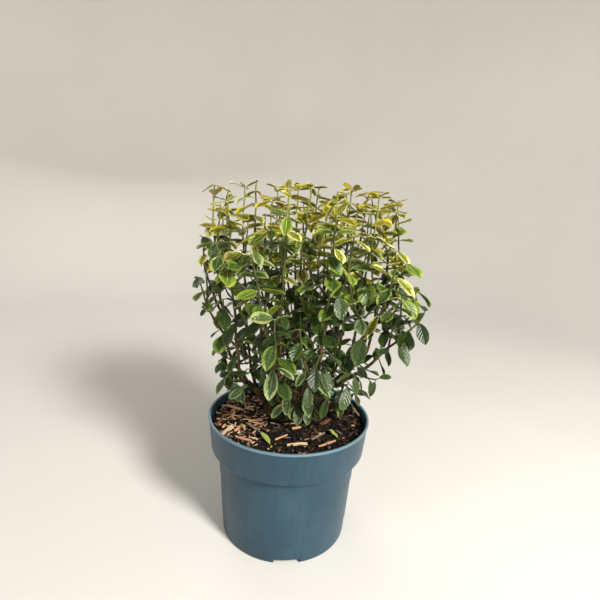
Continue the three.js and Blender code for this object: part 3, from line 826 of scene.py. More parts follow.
def grow_pairs(shoot, name, number, room, leaves):
    """Opposite pairs at the joints, each a quarter turn on from the one below."""
    draw = Chance(MASSES[name][3] * MASS_SEED + number * SHOOT_SEED)
    last = len(shoot.knots) - 1
    picked = draw.pick(TIP_ENDS)
    if not shoot.end:
        shoot.end = picked if shoot.tip.z > CUT_ABOVE else "leafy"
    spin = draw() * math.pi
    trails = shoot.leaf_scale < 1
    for joint in range(1, last + (shoot.end == "leafy")):
        root, tangent = shoot.knots[joint], tangent_at(shoot.knots, joint)
        depth, label = depth_share(root.z), (name, number, joint)
        weights = next(weights for limit, weights in BANDS if depth < limit)
        family = draw.pick(LOW_FAMILIES if trails else weights)
        young = YOUNG[last - joint] if last - joint < len(YOUNG) else 1
        for half in (0, math.pi):
            chance = draw.several(LEAF_CHANCES)
            size = lerp(*LEAF_LENGTH, depth) * lerp(*LENGTH_CHANCE, chance[5])
            size *= young * shoot.leaf_scale
            droop = (chance[0] - 0.5) * LOW_DROOP if trails else None
            leaf = place_leaf(
                lambda turn, shrink: Leaf(
                    root, tangent, spin + half + turn, size * shrink, depth, chance, droop),
                lambda leaf: room.fits(leaf, name, number, label),
            )
            kept = draw() >= FALLEN * math.sin(math.pi * min(depth * FALLEN_LOW, 1))
            if leaf and (kept or math.hypot(root.x, root.y) > FALLEN_REACH):
                leaf.family, leaf.seed = family, int(draw() * 1e9)
                room.blades.add(leaf.tests(), label)
                leaves.append(leaf)
        spin += math.pi / 2 + (draw() - 0.5) * SPIN_CHANCE
    if shoot.end == "bud":
        leaves += tip_pair(shoot, spin, draw, BUD_LENGTH, BUD_RISE)
    if shoot.end == "leafy" and shoot.tip.z > CUT_ABOVE:
        leaves += tip_pair(shoot, spin, draw, CROWN_LENGTH, CROWN_RISE)


def tip_pair(shoot, spin, draw, lengths, rise):
    """A pair of young leaves at the very end of a shoot, which rise from it."""
    tangent = tangent_at(shoot.knots, len(shoot.knots) - 1)
    pair, size = [], draw.between(lengths)
    for half in (0, math.pi):
        chance = draw.several(LEAF_CHANCES)
        leaf = Leaf(shoot.tip, tangent, spin + half, size, depth_share(shoot.tip.z), chance,
                    droop=-lerp(*rise, chance[0]))
        leaf.family = "gold" if leaf.depth < GOLD_TIP_DEPTH else "lime"
        leaf.seed = int(draw() * 1e9)
        pair.append(leaf)
    return pair


def grow_leaves(masses, boughs):
    room = Room(masses, boughs)
    leaves = {name: [] for name in masses}
    for name, shoots in masses.items():
        for number, shoot in enumerate(shoots):
            grow_pairs(shoot, name, number, room, leaves[name])
    return leaves


# Meshes


class Sheet:
    """Triangles of many small things, gathered to become one mesh."""

    def __init__(self):
        self.points, self.faces, self.slots, self.uvs, self.sharp = [], [], [], [], []
        self.count = 0

    def add(self, points, faces, slots, uvs=None, sharp=None):
        points = np.asarray(points, float)
        self.points.append(points)
        self.faces.append(np.asarray(faces) + self.count)
        self.slots.append(np.broadcast_to(slots, len(faces)))
        self.uvs.append(np.zeros((len(points), 2)) if uvs is None else uvs)
        self.sharp.append(np.zeros(len(points), bool) if sharp is None else sharp)
        self.count += len(points)

    def to_object(self, name, materials):
        points, faces = np.concatenate(self.points) * MM, np.concatenate(self.faces)
        mesh = bpy.data.meshes.new(name)
        mesh.from_pydata(points.tolist(), [], faces.tolist(), shade_flat=False)
        mesh.polygons.foreach_set("material_index", np.concatenate(self.slots))
        layer = mesh.uv_layers.new(name="Blade")
        layer.data.foreach_set("uv", np.concatenate(self.uvs)[faces.ravel()].ravel())
        ends = np.zeros(len(mesh.edges) * 2, int)
        mesh.edges.foreach_get("vertices", ends)
        sharp = np.concatenate(self.sharp)[ends.reshape(-1, 2)].all(axis=1)
        mesh.edges.foreach_set("use_edge_sharp", sharp)
        for material in materials:
            mesh.materials.append(material)
        mesh.validate()
        return add_object(name, mesh)


def closed_faces(rings, sides):
    """Quads round a run of rings, and a fan over each end: the ends' middles come last."""
    ring, side = np.indices((rings - 1, sides))
    a, b = (ring * sides + side).ravel(), (ring * sides + (side + 1) % sides).ravel()
    quads = np.stack([a, b, b + sides, a + sides], 1)
    edge, after = np.arange(sides), np.roll(np.arange(sides), -1)
    low, last = rings * sides, (rings - 1) * sides
    fans = [np.stack([np.full(sides, low), after, edge], 1),
            np.stack([np.full(sides, low + 1), last + edge, last + after], 1)]
    return quads, np.concatenate(fans)


def ring_frames(points):
    """Two directions square to a run of points at each of them, turning as little as they can."""
    tangents = np.gradient(points, axis=0)
    tangents /= np.linalg.norm(tangents, axis=1)[:, None]
    first = np.array([1.0, 0, 0]) if abs(tangents[0][0]) < 0.9 else np.array([0, 1.0, 0])
    across, forward = [], []
    for tangent in tangents:
        first = first - tangent * first.dot(tangent)
        first /= np.linalg.norm(first)
        across.append(first)
        forward.append(np.cross(tangent, first))
    return np.array(across), np.array(forward)


def tube(points, radii):
    """A closed tube: radii has one row for each point and one column for each side."""
    points, radii = np.asarray(points, float), np.asarray(radii, float)
    across, forward = ring_frames(points)
    angles = around(radii.shape[1])[None, :, None]
    spokes = across[:, None] * np.cos(angles) + forward[:, None] * np.sin(angles)
    skin = (points[:, None] + spokes * radii[:, :, None]).reshape(-1, 3)
    quads, fans = closed_faces(*radii.shape)
    faces = np.concatenate([quads[:, [0, 1, 2]], quads[:, [0, 2, 3]], fans])
    return np.vstack([skin, points[0], points[-1]]), faces


# A blade is a net of rows from its foot to its tip and columns from edge to edge. The columns
# follow the borders of its colours. QUILT and GROOVE_DEPTH are millimetres. The other values are
# shares of the blade's length or half width, factors, or ranges of chance.
ROWS = 16
COLUMNS = 8
EDGE, BAND, MIDDLE, RIB, VEIN = range(5)
STRIP_KINDS = (EDGE, BAND, MIDDLE, RIB, MIDDLE, BAND, EDGE)
ODD_ROWS = np.where(np.arange(ROWS - 1) % 2, 1, -1)
ROW_BUNCHING = 0.45
VEIN_CROWDING = 0.32
RIB_WIDTH = 0.058
RIB_TAPER = 1.15
COLOUR_REACH = (0.8, 1.15)
COLOUR_SKEW = 0.16
COLOUR_END = 1.04
COLOUR_TAPER = 0.42
COLOUR_LEAST = 0.12
COLOUR_ROUNDING = 0.8
TOOTH = 0.13
TOOTH_MEMORY = 0.5
TOOTH_ECHO = 0.35
HALO = (0.4, 1.6)
MIDDLE_LIMITS = (0.03, 0.88)
BAND_LIMITS = (0.04, 0.96)
BLUNTNESS = (0.6, 0.76)
FULLNESS = (0.86, 1.06)
SCALLOP = 0.022
WAVE = 0.045
WAVE_COUNT = (0.8, 1.6)
TWIST = 0.42
QUILT = 0.12
EDGE_EASE = 0.35
GROOVE_DEPTH = 0.12
GROOVE_HALF = 0.12
SLANT = 0.1
SWEEP = 0.1
POINT_LENGTH = 1.01
POINT_SWEEP = 1.15


def blade_net():
    """A blade's faces and their kinds."""
    inner = ROWS - 1
    foot, tip = inner * COLUMNS, inner * COLUMNS + 1
    above = np.arange(inner * COLUMNS).reshape(inner, COLUMNS)
    below = above.copy()
    below[:, 1:-1] = np.arange(inner * (COLUMNS - 2)).reshape(inner, -1) + tip + 1
    faces, kinds = [], []
    for grid, up in ((above, True), (below, False)):
        for column, kind in enumerate(STRIP_KINDS):
            shapes = [(foot, grid[0, column + 1], grid[0, column]),
                      (tip, grid[-1, column], grid[-1, column + 1])]
            shown = [MIDDLE if kind == BAND else kind, kind if kind == RIB else EDGE]
            for row in range(inner - 1):
                a, b, c, d = grid[row:row + 2, column:column + 2].ravel()
                shapes += [(a, b, d), (a, d, c)]
                shown += [VEIN if kind == MIDDLE and row % 2 else kind] * 2
            faces += shapes if up else [face[::-1] for face in shapes]
            kinds += shown
    return np.array(faces), np.array(kinds)


BLADE_FACES, BLADE_KINDS = blade_net()


def blade_halves(leaf, rng):
    """The columns' places across each row, from -1 to 1, with a ragged border to each colour."""
    inner, outer = (reach * rng.uniform(*COLOUR_REACH) for reach in FAMILIES[leaf.family][5:])
    even = np.arange(1, ROWS) / ROWS
    t = lerp(even, (1 - np.cos(math.pi * even)) / 2, ROW_BUNCHING) + ODD_ROWS * VEIN_CROWDING / ROWS
    narrow = np.clip((COLOUR_END - t) / COLOUR_TAPER, COLOUR_LEAST, 1) ** COLOUR_ROUNDING
    rib = RIB_WIDTH * (RIB_TAPER - t)
    places = np.empty((ROWS - 1, COLUMNS))
    places[:, 0], places[:, 3], places[:, 4], places[:, -1] = -1, -rib, rib, 1
    skew = rng.uniform(-COLOUR_SKEW, COLOUR_SKEW)
    for sign, near, far in ((-1, 2, 1), (1, 5, 6)):
        ragged = rng.uniform(-1, 1, ROWS)
        bite = TOOTH * (ragged[1:] + TOOTH_MEMORY * ragged[:-1])
        least, most = MIDDLE_LIMITS
        middle = np.clip(inner * (1 + sign * skew) * narrow + bite, rib + least, most)
        halo = (outer - inner) * rng.uniform(*HALO, ROWS - 1) * narrow
        least, most = BAND_LIMITS
        places[:, near] = sign * middle
        places[:, far] = sign * np.clip(middle + halo - bite * TOOTH_ECHO, middle + least, most)
    return t, places


def blade_mesh(leaf):
    """A blade as points, a map of them, and those that lie on its rim."""
    rng = np.random.default_rng(leaf.seed)
    t, halves = blade_halves(leaf, rng)
    blunt = rng.uniform(*BLUNTNESS)
    outline = np.sin(math.pi * t ** rng.uniform(*FULLNESS)) ** blunt * (1 + ODD_ROWS * SCALLOP)
    wave = rng.uniform(-WAVE, WAVE) * leaf.length
    wave = wave * np.sin(TAU * (t * rng.uniform(*WAVE_COUNT) + rng.uniform()))
    half, size = leaf.width / 2, np.abs(halves)
    twist = rng.uniform(-TWIST, TWIST) * t * half
    sweep = rng.uniform(-SWEEP, SWEEP) * leaf.length * t**2
    lift = leaf.fold * half * (size - EDGE_EASE * size**3)
    lift += (-leaf.curl * leaf.length * t**2)[:, None]
    lift += halves**2 * wave[:, None] + halves * twist[:, None]
    lift += QUILT * ODD_ROWS[:, None] * np.clip(1 - np.abs(size - 0.5) * 2, 0, 1)
    lift -= np.where(size < GROOVE_HALF, GROOVE_DEPTH, 0)
    ahead, across, face, root = map(np.array, (leaf.ahead, leaf.across, leaf.face, leaf.root))
    along = t[:, None] + SLANT * (size - 0.5) * np.sin(math.pi * t)[:, None]
    places = (root + ahead * (along * leaf.length)[..., None]
              + across * (halves * half * outline[:, None] + sweep[:, None])[..., None]
              + face * lift[..., None])
    tip = (root + ahead * leaf.length * POINT_LENGTH + across * (sweep[-1] * POINT_SWEEP)
           - face * leaf.curl * leaf.length)
    below = places[:, 1:-1] - face * LEAF_THICKNESS
    net = np.stack([(halves + 1) / 2, np.repeat(t[:, None], COLUMNS, 1)], -1)
    uvs = np.vstack([net.reshape(-1, 2), (0.5, 0), (0.5, 1), net[:, 1:-1].reshape(-1, 2)])
    rim = np.isin(uvs, (0, 1)).any(axis=1)
    return np.vstack([places.reshape(-1, 3), root, tip, below.reshape(-1, 3)]), uvs, rim


PETIOLE_RADII = (0.62, 0.46, 0.34)
PETIOLE_SIDES = 5
PETIOLE_INTO = 1.2
PETIOLE_UNDER = 0.2
PETIOLE_BOW = 0.3
FULL_PETIOLE_LENGTH = 12


def petiole_mesh(leaf):
    start, end = leaf.joint, leaf.root + leaf.ahead * PETIOLE_INTO - leaf.face * PETIOLE_UNDER
    bend = start.lerp(end, 0.5) + Vector((0, 0, PETIOLE_BOW))
    radii = np.array(PETIOLE_RADII) * min(1, leaf.length / FULL_PETIOLE_LENGTH)
    return tube([start, bend, end], np.repeat(radii[:, None], PETIOLE_SIDES, 1))


def leaf_sheet(leaves):
    sheet = Sheet()
    slot = {name: index for index, name in enumerate(COLOURS)}
    for leaf in leaves:
        rib, vein, middle, band, edge = FAMILIES[leaf.family][:5]
        palette = np.array([slot[name] for name in (edge, band, middle, rib, vein)])
        points, uvs, rim = blade_mesh(leaf)
        sheet.add(points, BLADE_FACES, palette[BLADE_KINDS], uvs, rim)
        sheet.add(*petiole_mesh(leaf), slot[rib])
    return sheet


def shoot_slots(shoot, rows):
    """The colour of each face of a shoot: woody and brown below, green above, young at its tip."""
    heights = np.array(shoot.axis.points)[rows, 2]
    to_tip = shoot.axis.length - np.array(shoot.axis.marks)[rows]
    slots = np.searchsorted(SHOOT_STEPS, heights)
    slots = np.where(to_tip < YOUNG_STEM, np.maximum(slots, YOUNG_SLOT), slots)
    if shoot.end == "cut":
        slots = np.where(to_tip < CUT_END, list(SHOOT_COLOURS).index("shoot_cut"), slots)
    return slots


def twig_sheet(shoots):
    """Shoots with a knob at each joint."""
    sheet = Sheet()
    square = 1 + TWIG_SQUARENESS * np.cos(4 * around(TWIG_SIDES))
    for shoot in shoots:
        points = np.array(shoot.axis.points)
        count = len(points)
        radius = lerp(*shoot.radii, np.linspace(0, 1, count))
        knob = np.where(np.arange(count) % KNOT_PARTS == 0, 1 + KNOB_SWELL, 1)
        knob[0], knob[-1] = 1, 1 if shoot.end == "cut" else TIP_TAPER
        places, faces = tube(points, (radius * knob)[:, None] * square)
        rows = np.minimum(faces.min(axis=1) // TWIG_SIDES, count - 1)
        sheet.add(places, faces, shoot_slots(shoot, rows))
    return sheet


# Bark


def bark_skin(points, radii, shift=0):
    """A limb's skin: long furrows, low knobs and fine grain."""
    rows = []
    for index, (point, radius) in enumerate(zip(np.array(points) + shift, radii)):
        along = index * BARK_STEP
        knob = math.exp(-(along % KNOB_SPACING - KNOB_SPACING / 2) ** 2 / KNOB_REACH)
        row = []
        for angle, size in zip(around(BARK_SIDES), np.broadcast_to(radius, BARK_SIDES)):
            furrow_at = Vector((point[0], point[1], along * FURROW_WAVES[1]))
            grain_at = Vector((0, point[0], along * GRAIN_WAVES[1]))
            furrow = noise.noise(heading(angle) * FURROW_WAVES[0] + furrow_at)
            grain = noise.noise(heading(angle) * GRAIN_WAVES[0] + grain_at)
            row.append(size * (1 + BARK_RELIEF * (furrow + 0.5 * grain)))
        rows.append(np.array(row) * (1 + KNOB_HEIGHT * knob))
    return tube(points, rows)


def stem_skin(stem):
    path = through(stem_path(stem))
    count = int(path.length / BARK_STEP)
    points, share = np.array(path.spaced(count)), np.linspace(0, 1, count + 1)
    flare = FLARE * np.exp(-share / FLARE_REACH)[:, None]
    lobes = 1 + LOBE_DEPTH * np.cos(around(BARK_SIDES) * FLARE_LOBES)[None]
    radii = lerp(*stem["radii"], share)[:, None] * (1 + flare * lobes)
    radii[-2:] *= np.array(STEM_ENDS)[:, None]
    return bark_skin([points[0] - (0, 0, STEM_SUNK), *points], [radii[0], *radii])


def bough_skin(path, shift):
    count = int(path.length / BARK_STEP)
    radii = lerp(*BOUGH_RADII, np.linspace(0, 1, count + 1))
    radii[-1] *= BOUGH_END
    return bark_skin(path.spaced(count), radii, shift)


def wood_piece(stem_name, boughs, material):
    sheet, nodes = Sheet(), [stem_name]
    sheet.add(*stem_skin(STEMS[stem_name]), 0)
    for shift, (name, path) in enumerate(boughs.items()):
        if MASSES[name][0] == stem_name:
            sheet.add(*bough_skin(path, shift), 0)
            nodes.append(f"{name}_bough")
    ride(sheet.to_object(f"{stem_name}_wood", [material]), "bark", *nodes)


# Pot


def rounded(profile):
    """An outline with its corners rounded: each entry is radius, height and corner radius."""
    points = []
    for index, (x, z, bend) in enumerate(profile):
        here = Vector((x, z))
        if not bend:
            points.append(here)
            continue
        before = Vector(profile[index - 1][:2]) - here
        after = Vector(profile[index + 1][:2]) - here
        cut = min(bend, before.length / 2, after.length / 2)
        start, end = here + before.normalized() * cut, here + after.normalized() * cut
        points += bent(start, here, end, CORNER_STEPS)
    return points


def spun(outline, sides):
    """Points of an outline of radius and height turned round the axis, ring by ring."""
    outline, angles = np.array(outline, float)[:, None], around(sides)
    spokes = np.stack([np.cos(angles), np.sin(angles)], 1)
    heights = np.repeat(outline[..., 1:], sides, 1)
    return np.concatenate([outline[..., :1] * spokes, heights], -1).reshape(-1, 3)


def lathe(name, profile, sides):
    """A closed solid of revolution from an outline that starts and ends on the axis."""
    ends = [(0, 0, profile[0][1]), (0, 0, profile[-1][1])]
    places = np.vstack([spun(profile[1:-1], sides), ends]) * MM
    quads, fans = closed_faces(len(profile) - 2, sides)
    mesh = bpy.data.meshes.new(name)
    mesh.from_pydata(places.tolist(), [], [*quads.tolist(), *fans.tolist()])
    return add_object(name, mesh)


def body_radius(height, rings_below):
    slope = BODY_TOP_RADIUS - BASE_RADIUS - RING_STEP * len(RING_HEIGHTS)
    return BASE_RADIUS + slope * height / (POT_HEIGHT - COLLAR_DEPTH) + RING_STEP * rings_below


def pot_profile():
    step = POT_HEIGHT - COLLAR_DEPTH
    lip_foot = POT_HEIGHT - LIP_HEIGHT
    rings = []
    for index, height in enumerate(RING_HEIGHTS):
        rings.append((body_radius(height, index), height, 0.35))
        rings.append((body_radius(height, index + 1), height + RING_RISE, 0.35))
    return [
        (0, 0, 0),
        (BASE_RADIUS, 0, 2.4),
        *rings,
        (BODY_TOP_RADIUS, step, 0.5),
        (COLLAR_LOW_RADIUS, step, 1.1),
        (RIM_RADIUS - LIP_PROUD, lip_foot, 0.3),
        (RIM_RADIUS, lip_foot + 0.3, 0.4),
        (RIM_RADIUS, POT_HEIGHT, 0.8),
        (RIM_RADIUS - LIP_PROUD - WALL, POT_HEIGHT, 0.6),
        (COLLAR_LOW_RADIUS - WALL, step + WALL, 1),
        (BODY_TOP_RADIUS - RING_STEP - WALL, step + WALL, 0.6),
        (BASE_RADIUS - WALL, WALL, 1),
        (0, WALL, 0),
    ]


def pocket_blocks(name, grow, low, high):
    """One block for each drain pocket, from its inner end out past the wall."""
    places, faces = [], []
    sides = ((0, 1, 3, 2), (4, 6, 7, 5), (0, 4, 5, 1), (2, 3, 7, 6), (0, 2, 6, 4), (1, 5, 7, 3))
    for index in range(POCKET_COUNT):
        turn = Matrix.Rotation(index * TAU / POCKET_COUNT - TAU / 4 + POCKET_TURN, 3, "Z")
        faces += [tuple(len(places) + corner for corner in side) for side in sides]
        for x, y, z in itertools.product((0, 1), repeat=3):
            reach = RIM_RADIUS if x else POCKET_REACH - grow
            across = (y - 0.5) * (POCKET_WIDTH + 2 * grow)
            places.append(turn @ Vector((reach, across, high if z else low)) * MM)
    mesh = bpy.data.meshes.new(name)
    mesh.from_pydata(places, [], faces)
    return add_object(name, mesh)


def cut_by(thing, other, operation):
    """thing's mesh joined with, cut by or kept within other, which is used up."""
    step = thing.modifiers.new("cut", "BOOLEAN")
    step.operation, step.object, step.solver = operation, other, "EXACT"
    graph = bpy.context.evaluated_depsgraph_get()
    made = bpy.data.meshes.new_from_object(thing.evaluated_get(graph))
    thing.modifiers.clear()
    thing.data = made
    bpy.data.objects.remove(other)


def pot_piece(material):
    pot = lathe("nursery_pot", rounded(pot_profile()), POT_SIDES)
    middle = WALL / 2
    inside = [(0, middle), (BASE_RADIUS - middle, middle),
              (BODY_TOP_RADIUS - middle - RING_STEP, POT_HEIGHT - COLLAR_DEPTH), (0, INSIDE_APEX)]
    roofs = pocket_blocks("pocket_roofs", WALL, POCKET_FLOOR, POCKET_RISE + WALL)
    cut_by(roofs, lathe("pot_inside", inside, POT_SIDES), "INTERSECT")
    cut_by(pot, roofs, "UNION")
    cut_by(pot, pocket_blocks("pocket_channels", 0, -WALL, POCKET_RISE), "DIFFERENCE")
    pot.data.materials.clear()
    pot.data.materials.append(material)
    pot.data.shade_smooth()
    pot.data.set_sharp_from_angle(angle=math.radians(POT_CREASE))
    ride(pot, "pot", "pot")


# Compost

SOIL_LAYERS = (3.1, 8.7, 1.9)


def soil_height(x, y):
    swell, grain, fine = (noise.noise(Vector((x / wave, y / wave, layer)))
                          for wave, layer in zip(SOIL_WAVES, SOIL_LAYERS))
    return SOIL_TOP - SOIL_DIP + SOIL_SWELL * swell + SOIL_GRAIN * (grain + 0.5 * fine)


def soil_reach(height):
    """Radius of the pot's inside at a height, less a small gap."""
    step = POT_HEIGHT - COLLAR_DEPTH
    if height > step + WALL:
        outer = lerp(COLLAR_LOW_RADIUS, RIM_RADIUS - LIP_PROUD, (height - step) / COLLAR_DEPTH)
    else:
        outer = lerp(BASE_RADIUS, BODY_TOP_RADIUS - RING_STEP, height / step)
    return outer - WALL - SOIL_GAP


def compost_piece(material):
    step = POT_HEIGHT - COLLAR_DEPTH + WALL + SOIL_GAP
    floor = POCKET_RISE + WALL + SOIL_GAP
    edge = soil_reach(SOIL_TOP)
    top = [(edge * (1 - row / SOIL_RINGS), SOIL_TOP) for row in range(SOIL_RINGS)]
    profile = [(0, floor), (soil_reach(floor), floor), (soil_reach(step - SOIL_STEP_EASE), step),
               (soil_reach(step), step), *top, (0, SOIL_TOP)]
    lump = lathe("compost_lump", profile, SOIL_SIDES)
    for vertex in lump.data.vertices:
        x, y, z = (value / MM for value in vertex.co)
        if z > SOIL_TOP - 1:
            vertex.co.z = soil_height(x, y) * MM
    lump.data.materials.append(material)
    lump.data.shade_smooth()
    ride(lump, "compost", "compost")


CHIP_STATIONS = (-0.5, -0.3, -0.05, 0.22, 0.5)
CHIP_CORNERS = ((-1, -1), (1, -1), (1, 1), (-1, 1))
CHIP_ROUGHNESS = (0.72, 1.1)
CHIP_SLIP = 0.08
CHIP_BOW = (-0.03, 0.03)
CHIP_ROLL = (-0.5, 0.5)
SPLIT_ENDS = (0.12, 0.75)
SAWN_ENDS = (0.75, 1)


def splinter(draw, place, turn, tilt, size, ends):
    """A split piece of bark: a bar with uneven sides, narrower at its ends."""
    length, width, thick = size
    rough = [[draw.between(CHIP_ROUGHNESS) for _ in CHIP_CORNERS] for _ in CHIP_STATIONS]
    bow = draw.between(CHIP_BOW) * length
    places = []
    for share, factors in zip(CHIP_STATIONS, rough):
        slim = draw.between(ends) if abs(share) == 0.5 else 1
        for (y, z), factor in zip(CHIP_CORNERS, factors):
            places.append(Vector((
                share * length + (draw() - 0.5) * length * CHIP_SLIP,
                y * width / 2 * factor * slim + bow * (1 - 4 * share**2),
                z * thick / 2 * factor * slim,
            )))
    spin = Matrix.Rotation(turn, 3, "Z") @ Matrix.Rotation(tilt, 3, "Y")
    spin = spin @ Matrix.Rotation(draw.between(CHIP_ROLL), 3, "X")
    sides = len(CHIP_CORNERS)
    quads, _ = closed_faces(len(CHIP_STATIONS), sides)
    last = sides * (len(CHIP_STATIONS) - 1)
    caps = [(0, 2, 1), (0, 3, 2), (last, last + 1, last + 2), (last, last + 2, last + 3)]
    faces = np.vstack([quads[:, [0, 1, 2]], quads[:, [0, 2, 3]], caps])[:, ::-1]
    return [spin @ point + place for point in places], faces


def chip_weights(x):
    """How often each colour of chip comes: pale ones lie thicker on the left."""
    left, right = PALE_SIDE
    share = clamp((x - left) / (right - left))
    return {name: lerp(pale, dark, share) for name, (_, pale, dark) in CHIP_COLOURS.items()}


def under_scrap(x, y):
    """True where a scrap of leaf lies."""
    return any(math.hypot(x - left - math.cos(turn) * length / 2,
                          y - front - math.sin(turn) * length / 2) < length * SCRAP_ROOM
               for left, front, turn, length in SCRAPS)


def chip_fits(x, y, turn, length):
    """True away from the stems and the pot's wall."""
    if any(math.dist((x, y), stem["foot"]) < STEM_ROOM for stem in STEMS.values()):
        return False
    across, ahead = math.cos(turn) * length / 2, math.sin(turn) * length / 2
    return all(math.hypot(x + sign * across, y + sign * ahead) < CHIP_REACH for sign in (-1, 1))


def spot(draw):
    angle, radius = draw() * TAU, CHIP_REACH * math.sqrt(draw())
    return radius * math.cos(angle), radius * math.sin(angle)


def chips_piece(materials):
    draw, sheet, laid = Chance(CHIP_SEED), Sheet(), 0
    slots = {name: index for index, name in enumerate(CHIP_COLOURS)}
    while laid < CHIP_COUNT:
        x, y = spot(draw)
        turn, tilt = draw() * math.pi, draw.between(CHIP_TILT)
        front = clamp((FRONT_EDGE[0] - y) / (FRONT_EDGE[0] - FRONT_EDGE[1]))
        length = lerp(*CHIP_LENGTH, draw() ** CHIP_SHORTNESS) * lerp(1, FRONT_SHRINK, front)
        size = (length, lerp(*CHIP_WIDTH, draw() ** CHIP_SLIMNESS), draw.between(CHIP_THICKNESS))
        colour, rise = draw.pick(chip_weights(x)), lerp(*CHIP_RISE, draw() ** 2)
        if under_scrap(x, y):
            rise, tilt = 0, 0
        if chip_fits(x, y, turn, length):
            place = Vector((x, y, soil_height(x, y) + rise))
            sheet.add(*splinter(draw, place, turn, tilt, size, SPLIT_ENDS), slots[colour])
            laid += 1
    for x, y, turn, length, width, colour in LARGE_CHIPS:
        place = Vector((x, y, soil_height(x, y) + CHIP_RISE[1]))
        size, tilt = (length, width, CHIP_THICKNESS[1]), draw.between(CHIP_TILT) / 3
        sheet.add(*splinter(draw, place, turn, tilt, size, SAWN_ENDS), slots[colour])
    chips = sheet.to_object("bark_chips", materials)
    chips.data.set_sharp_from_angle(angle=math.radians(CHIP_CREASE))
    ride(chips, "compost")


def crumb_shape():
    """A ball of twenty faces, whose edges are 2 long before it is scaled."""
    golden = (1 + math.sqrt(5)) / 2
    pairs = list(itertools.product((-1, 1), repeat=2))
    places = np.array([(0, a, b * golden) for a, b in pairs]
                      + [(a, b * golden, 0) for a, b in pairs]
                      + [(b * golden, 0, a) for a, b in pairs])
    faces = []
    for trio in itertools.combinations(range(12), 3):
        a, b, c = (places[corner] for corner in trio)
        if max(math.dist(a, b), math.dist(b, c), math.dist(c, a)) < 2.1:
            outward = np.dot(np.cross(b - a, c - a), a) > 0
            faces.append(trio if outward else trio[::-1])
    return places / golden, faces


def crumbs_piece(materials):
    draw, sheet = Chance(CRUMB_SEED), Sheet()
    shape, faces = crumb_shape()
    for _ in range(CRUMB_COUNT):
        x, y = spot(draw)
        size = [draw.between(limits) for limits in CRUMB_SIZES]
        rough = np.array([draw.between(CRUMB_ROUGHNESS) for _ in shape])[:, None]
        turn = np.array(Matrix.Rotation(draw() * TAU, 3, "Z"))
        places = (shape * rough * size) @ turn.T + (x, y, soil_height(x, y) + CRUMB_RISE)
        sheet.add(places, faces, draw.pick(CRUMB_WEIGHTS))
    ride(sheet.to_object("compost_crumbs", materials), "compost")


def fallen_leaves_piece(materials):
    """Two pale scraps of leaf that lie on the chips."""
    leaves = []
    for x, y, turn, size in SCRAPS:
        joint = Vector((x, y, soil_height(x, y) + SCRAP_RISE))
        leaf = Leaf(joint, Vector((0, 0, 1)), turn, size, 1, SCRAP_CHANCES, SCRAP_DROOP)
        leaf.family, leaf.seed = "faded", size
        leaves.append(leaf)
    ride(leaf_sheet(leaves).to_object("fallen_leaves", materials), "foliage")


# Materials

LEAF_GLOW = 0.3
# Paler blue-grey for the top of the pot's lip: a painted highlight along the rim
LIP_HIGHLIGHT_COLOUR = (96, 122, 134)
BLADE_VEINS = 6
VEIN_SLANT = 0.5
EVEN = (1, 1, 1)


def linear(colour):
    values = [value / 255 for value in colour]
    return [v / 12.92 if v <= 0.04045 else ((v + 0.055) / 1.055) ** 2.4 for v in values] + [1]


class Finish:
    """A material and the nodes that give it its pattern."""

    def __init__(self, name):
        self.material = bpy.data.materials.new(name)
        self.material.use_nodes = True
        self.nodes = self.material.node_tree.nodes
        self.links = self.material.node_tree.links
        self.shader = self.nodes["Principled BSDF"]

    def set(self, **values):
        for name, value in values.items():
            self.shader.inputs[name.replace("_", " ")].default_value = value

    def node(self, kind, inputs=None, **settings):
        node = self.nodes.new(kind)
        for name, value in settings.items():
            setattr(node, name, value)
        for name, value in (inputs or {}).items():
            if isinstance(value, bpy.types.NodeSocket):
                self.links.new(value, node.inputs[name])
            else:
                node.inputs[name].default_value = value
        return node

    def stretched(self, scale):
        """The object's own coordinates, stretched along its axes."""
        place = self.node("ShaderNodeTexCoord")
        return self.node("ShaderNodeMapping",
                         {"Vector": place.outputs["Object"], "Scale": scale}).outputs[0]

    def noise(self, stretch, scale, detail=4, roughness=0.55):
        return self.node("ShaderNodeTexNoise", {
            "Vector": self.stretched(stretch), "Scale": scale, "Detail": detail,
            "Roughness": roughness,
        }).outputs["Fac"]

    def math(self, operation, *values):
        return self.node("ShaderNodeMath", dict(enumerate(values)), operation=operation).outputs[0]

    def spread(self, factor, low, high):
        """factor from low to high, brought to 0 to 1."""
        return self.node("ShaderNodeMapRange", {
            "Value": factor, "From Min": low, "From Max": high}).outputs["Result"]

    def ramp(self, factor, *stops):
        node = self.node("ShaderNodeValToRGB", {"Fac": factor})
        ramp = node.color_ramp
        while len(ramp.elements) < len(stops):
            ramp.elements.new(0.5)
        for element, (place, colour) in zip(ramp.elements, stops):
            element.position = place
            element.color = linear(colour)
        return node.outputs["Color"]

    def paint(self, colour):
        self.links.new(colour, self.shader.inputs["Base Color"])

    def bump(self, height, strength, distance):
        node = self.node("ShaderNodeBump", {
            "Height": height, "Strength": strength, "Distance": distance * MM})
        self.links.new(node.outputs["Normal"], self.shader.inputs["Normal"])

    def rough(self, factor, low, high):
        node = self.node("ShaderNodeMapRange", {"Value": factor, "To Min": low, "To Max": high})
        self.links.new(node.outputs["Result"], self.shader.inputs["Roughness"])


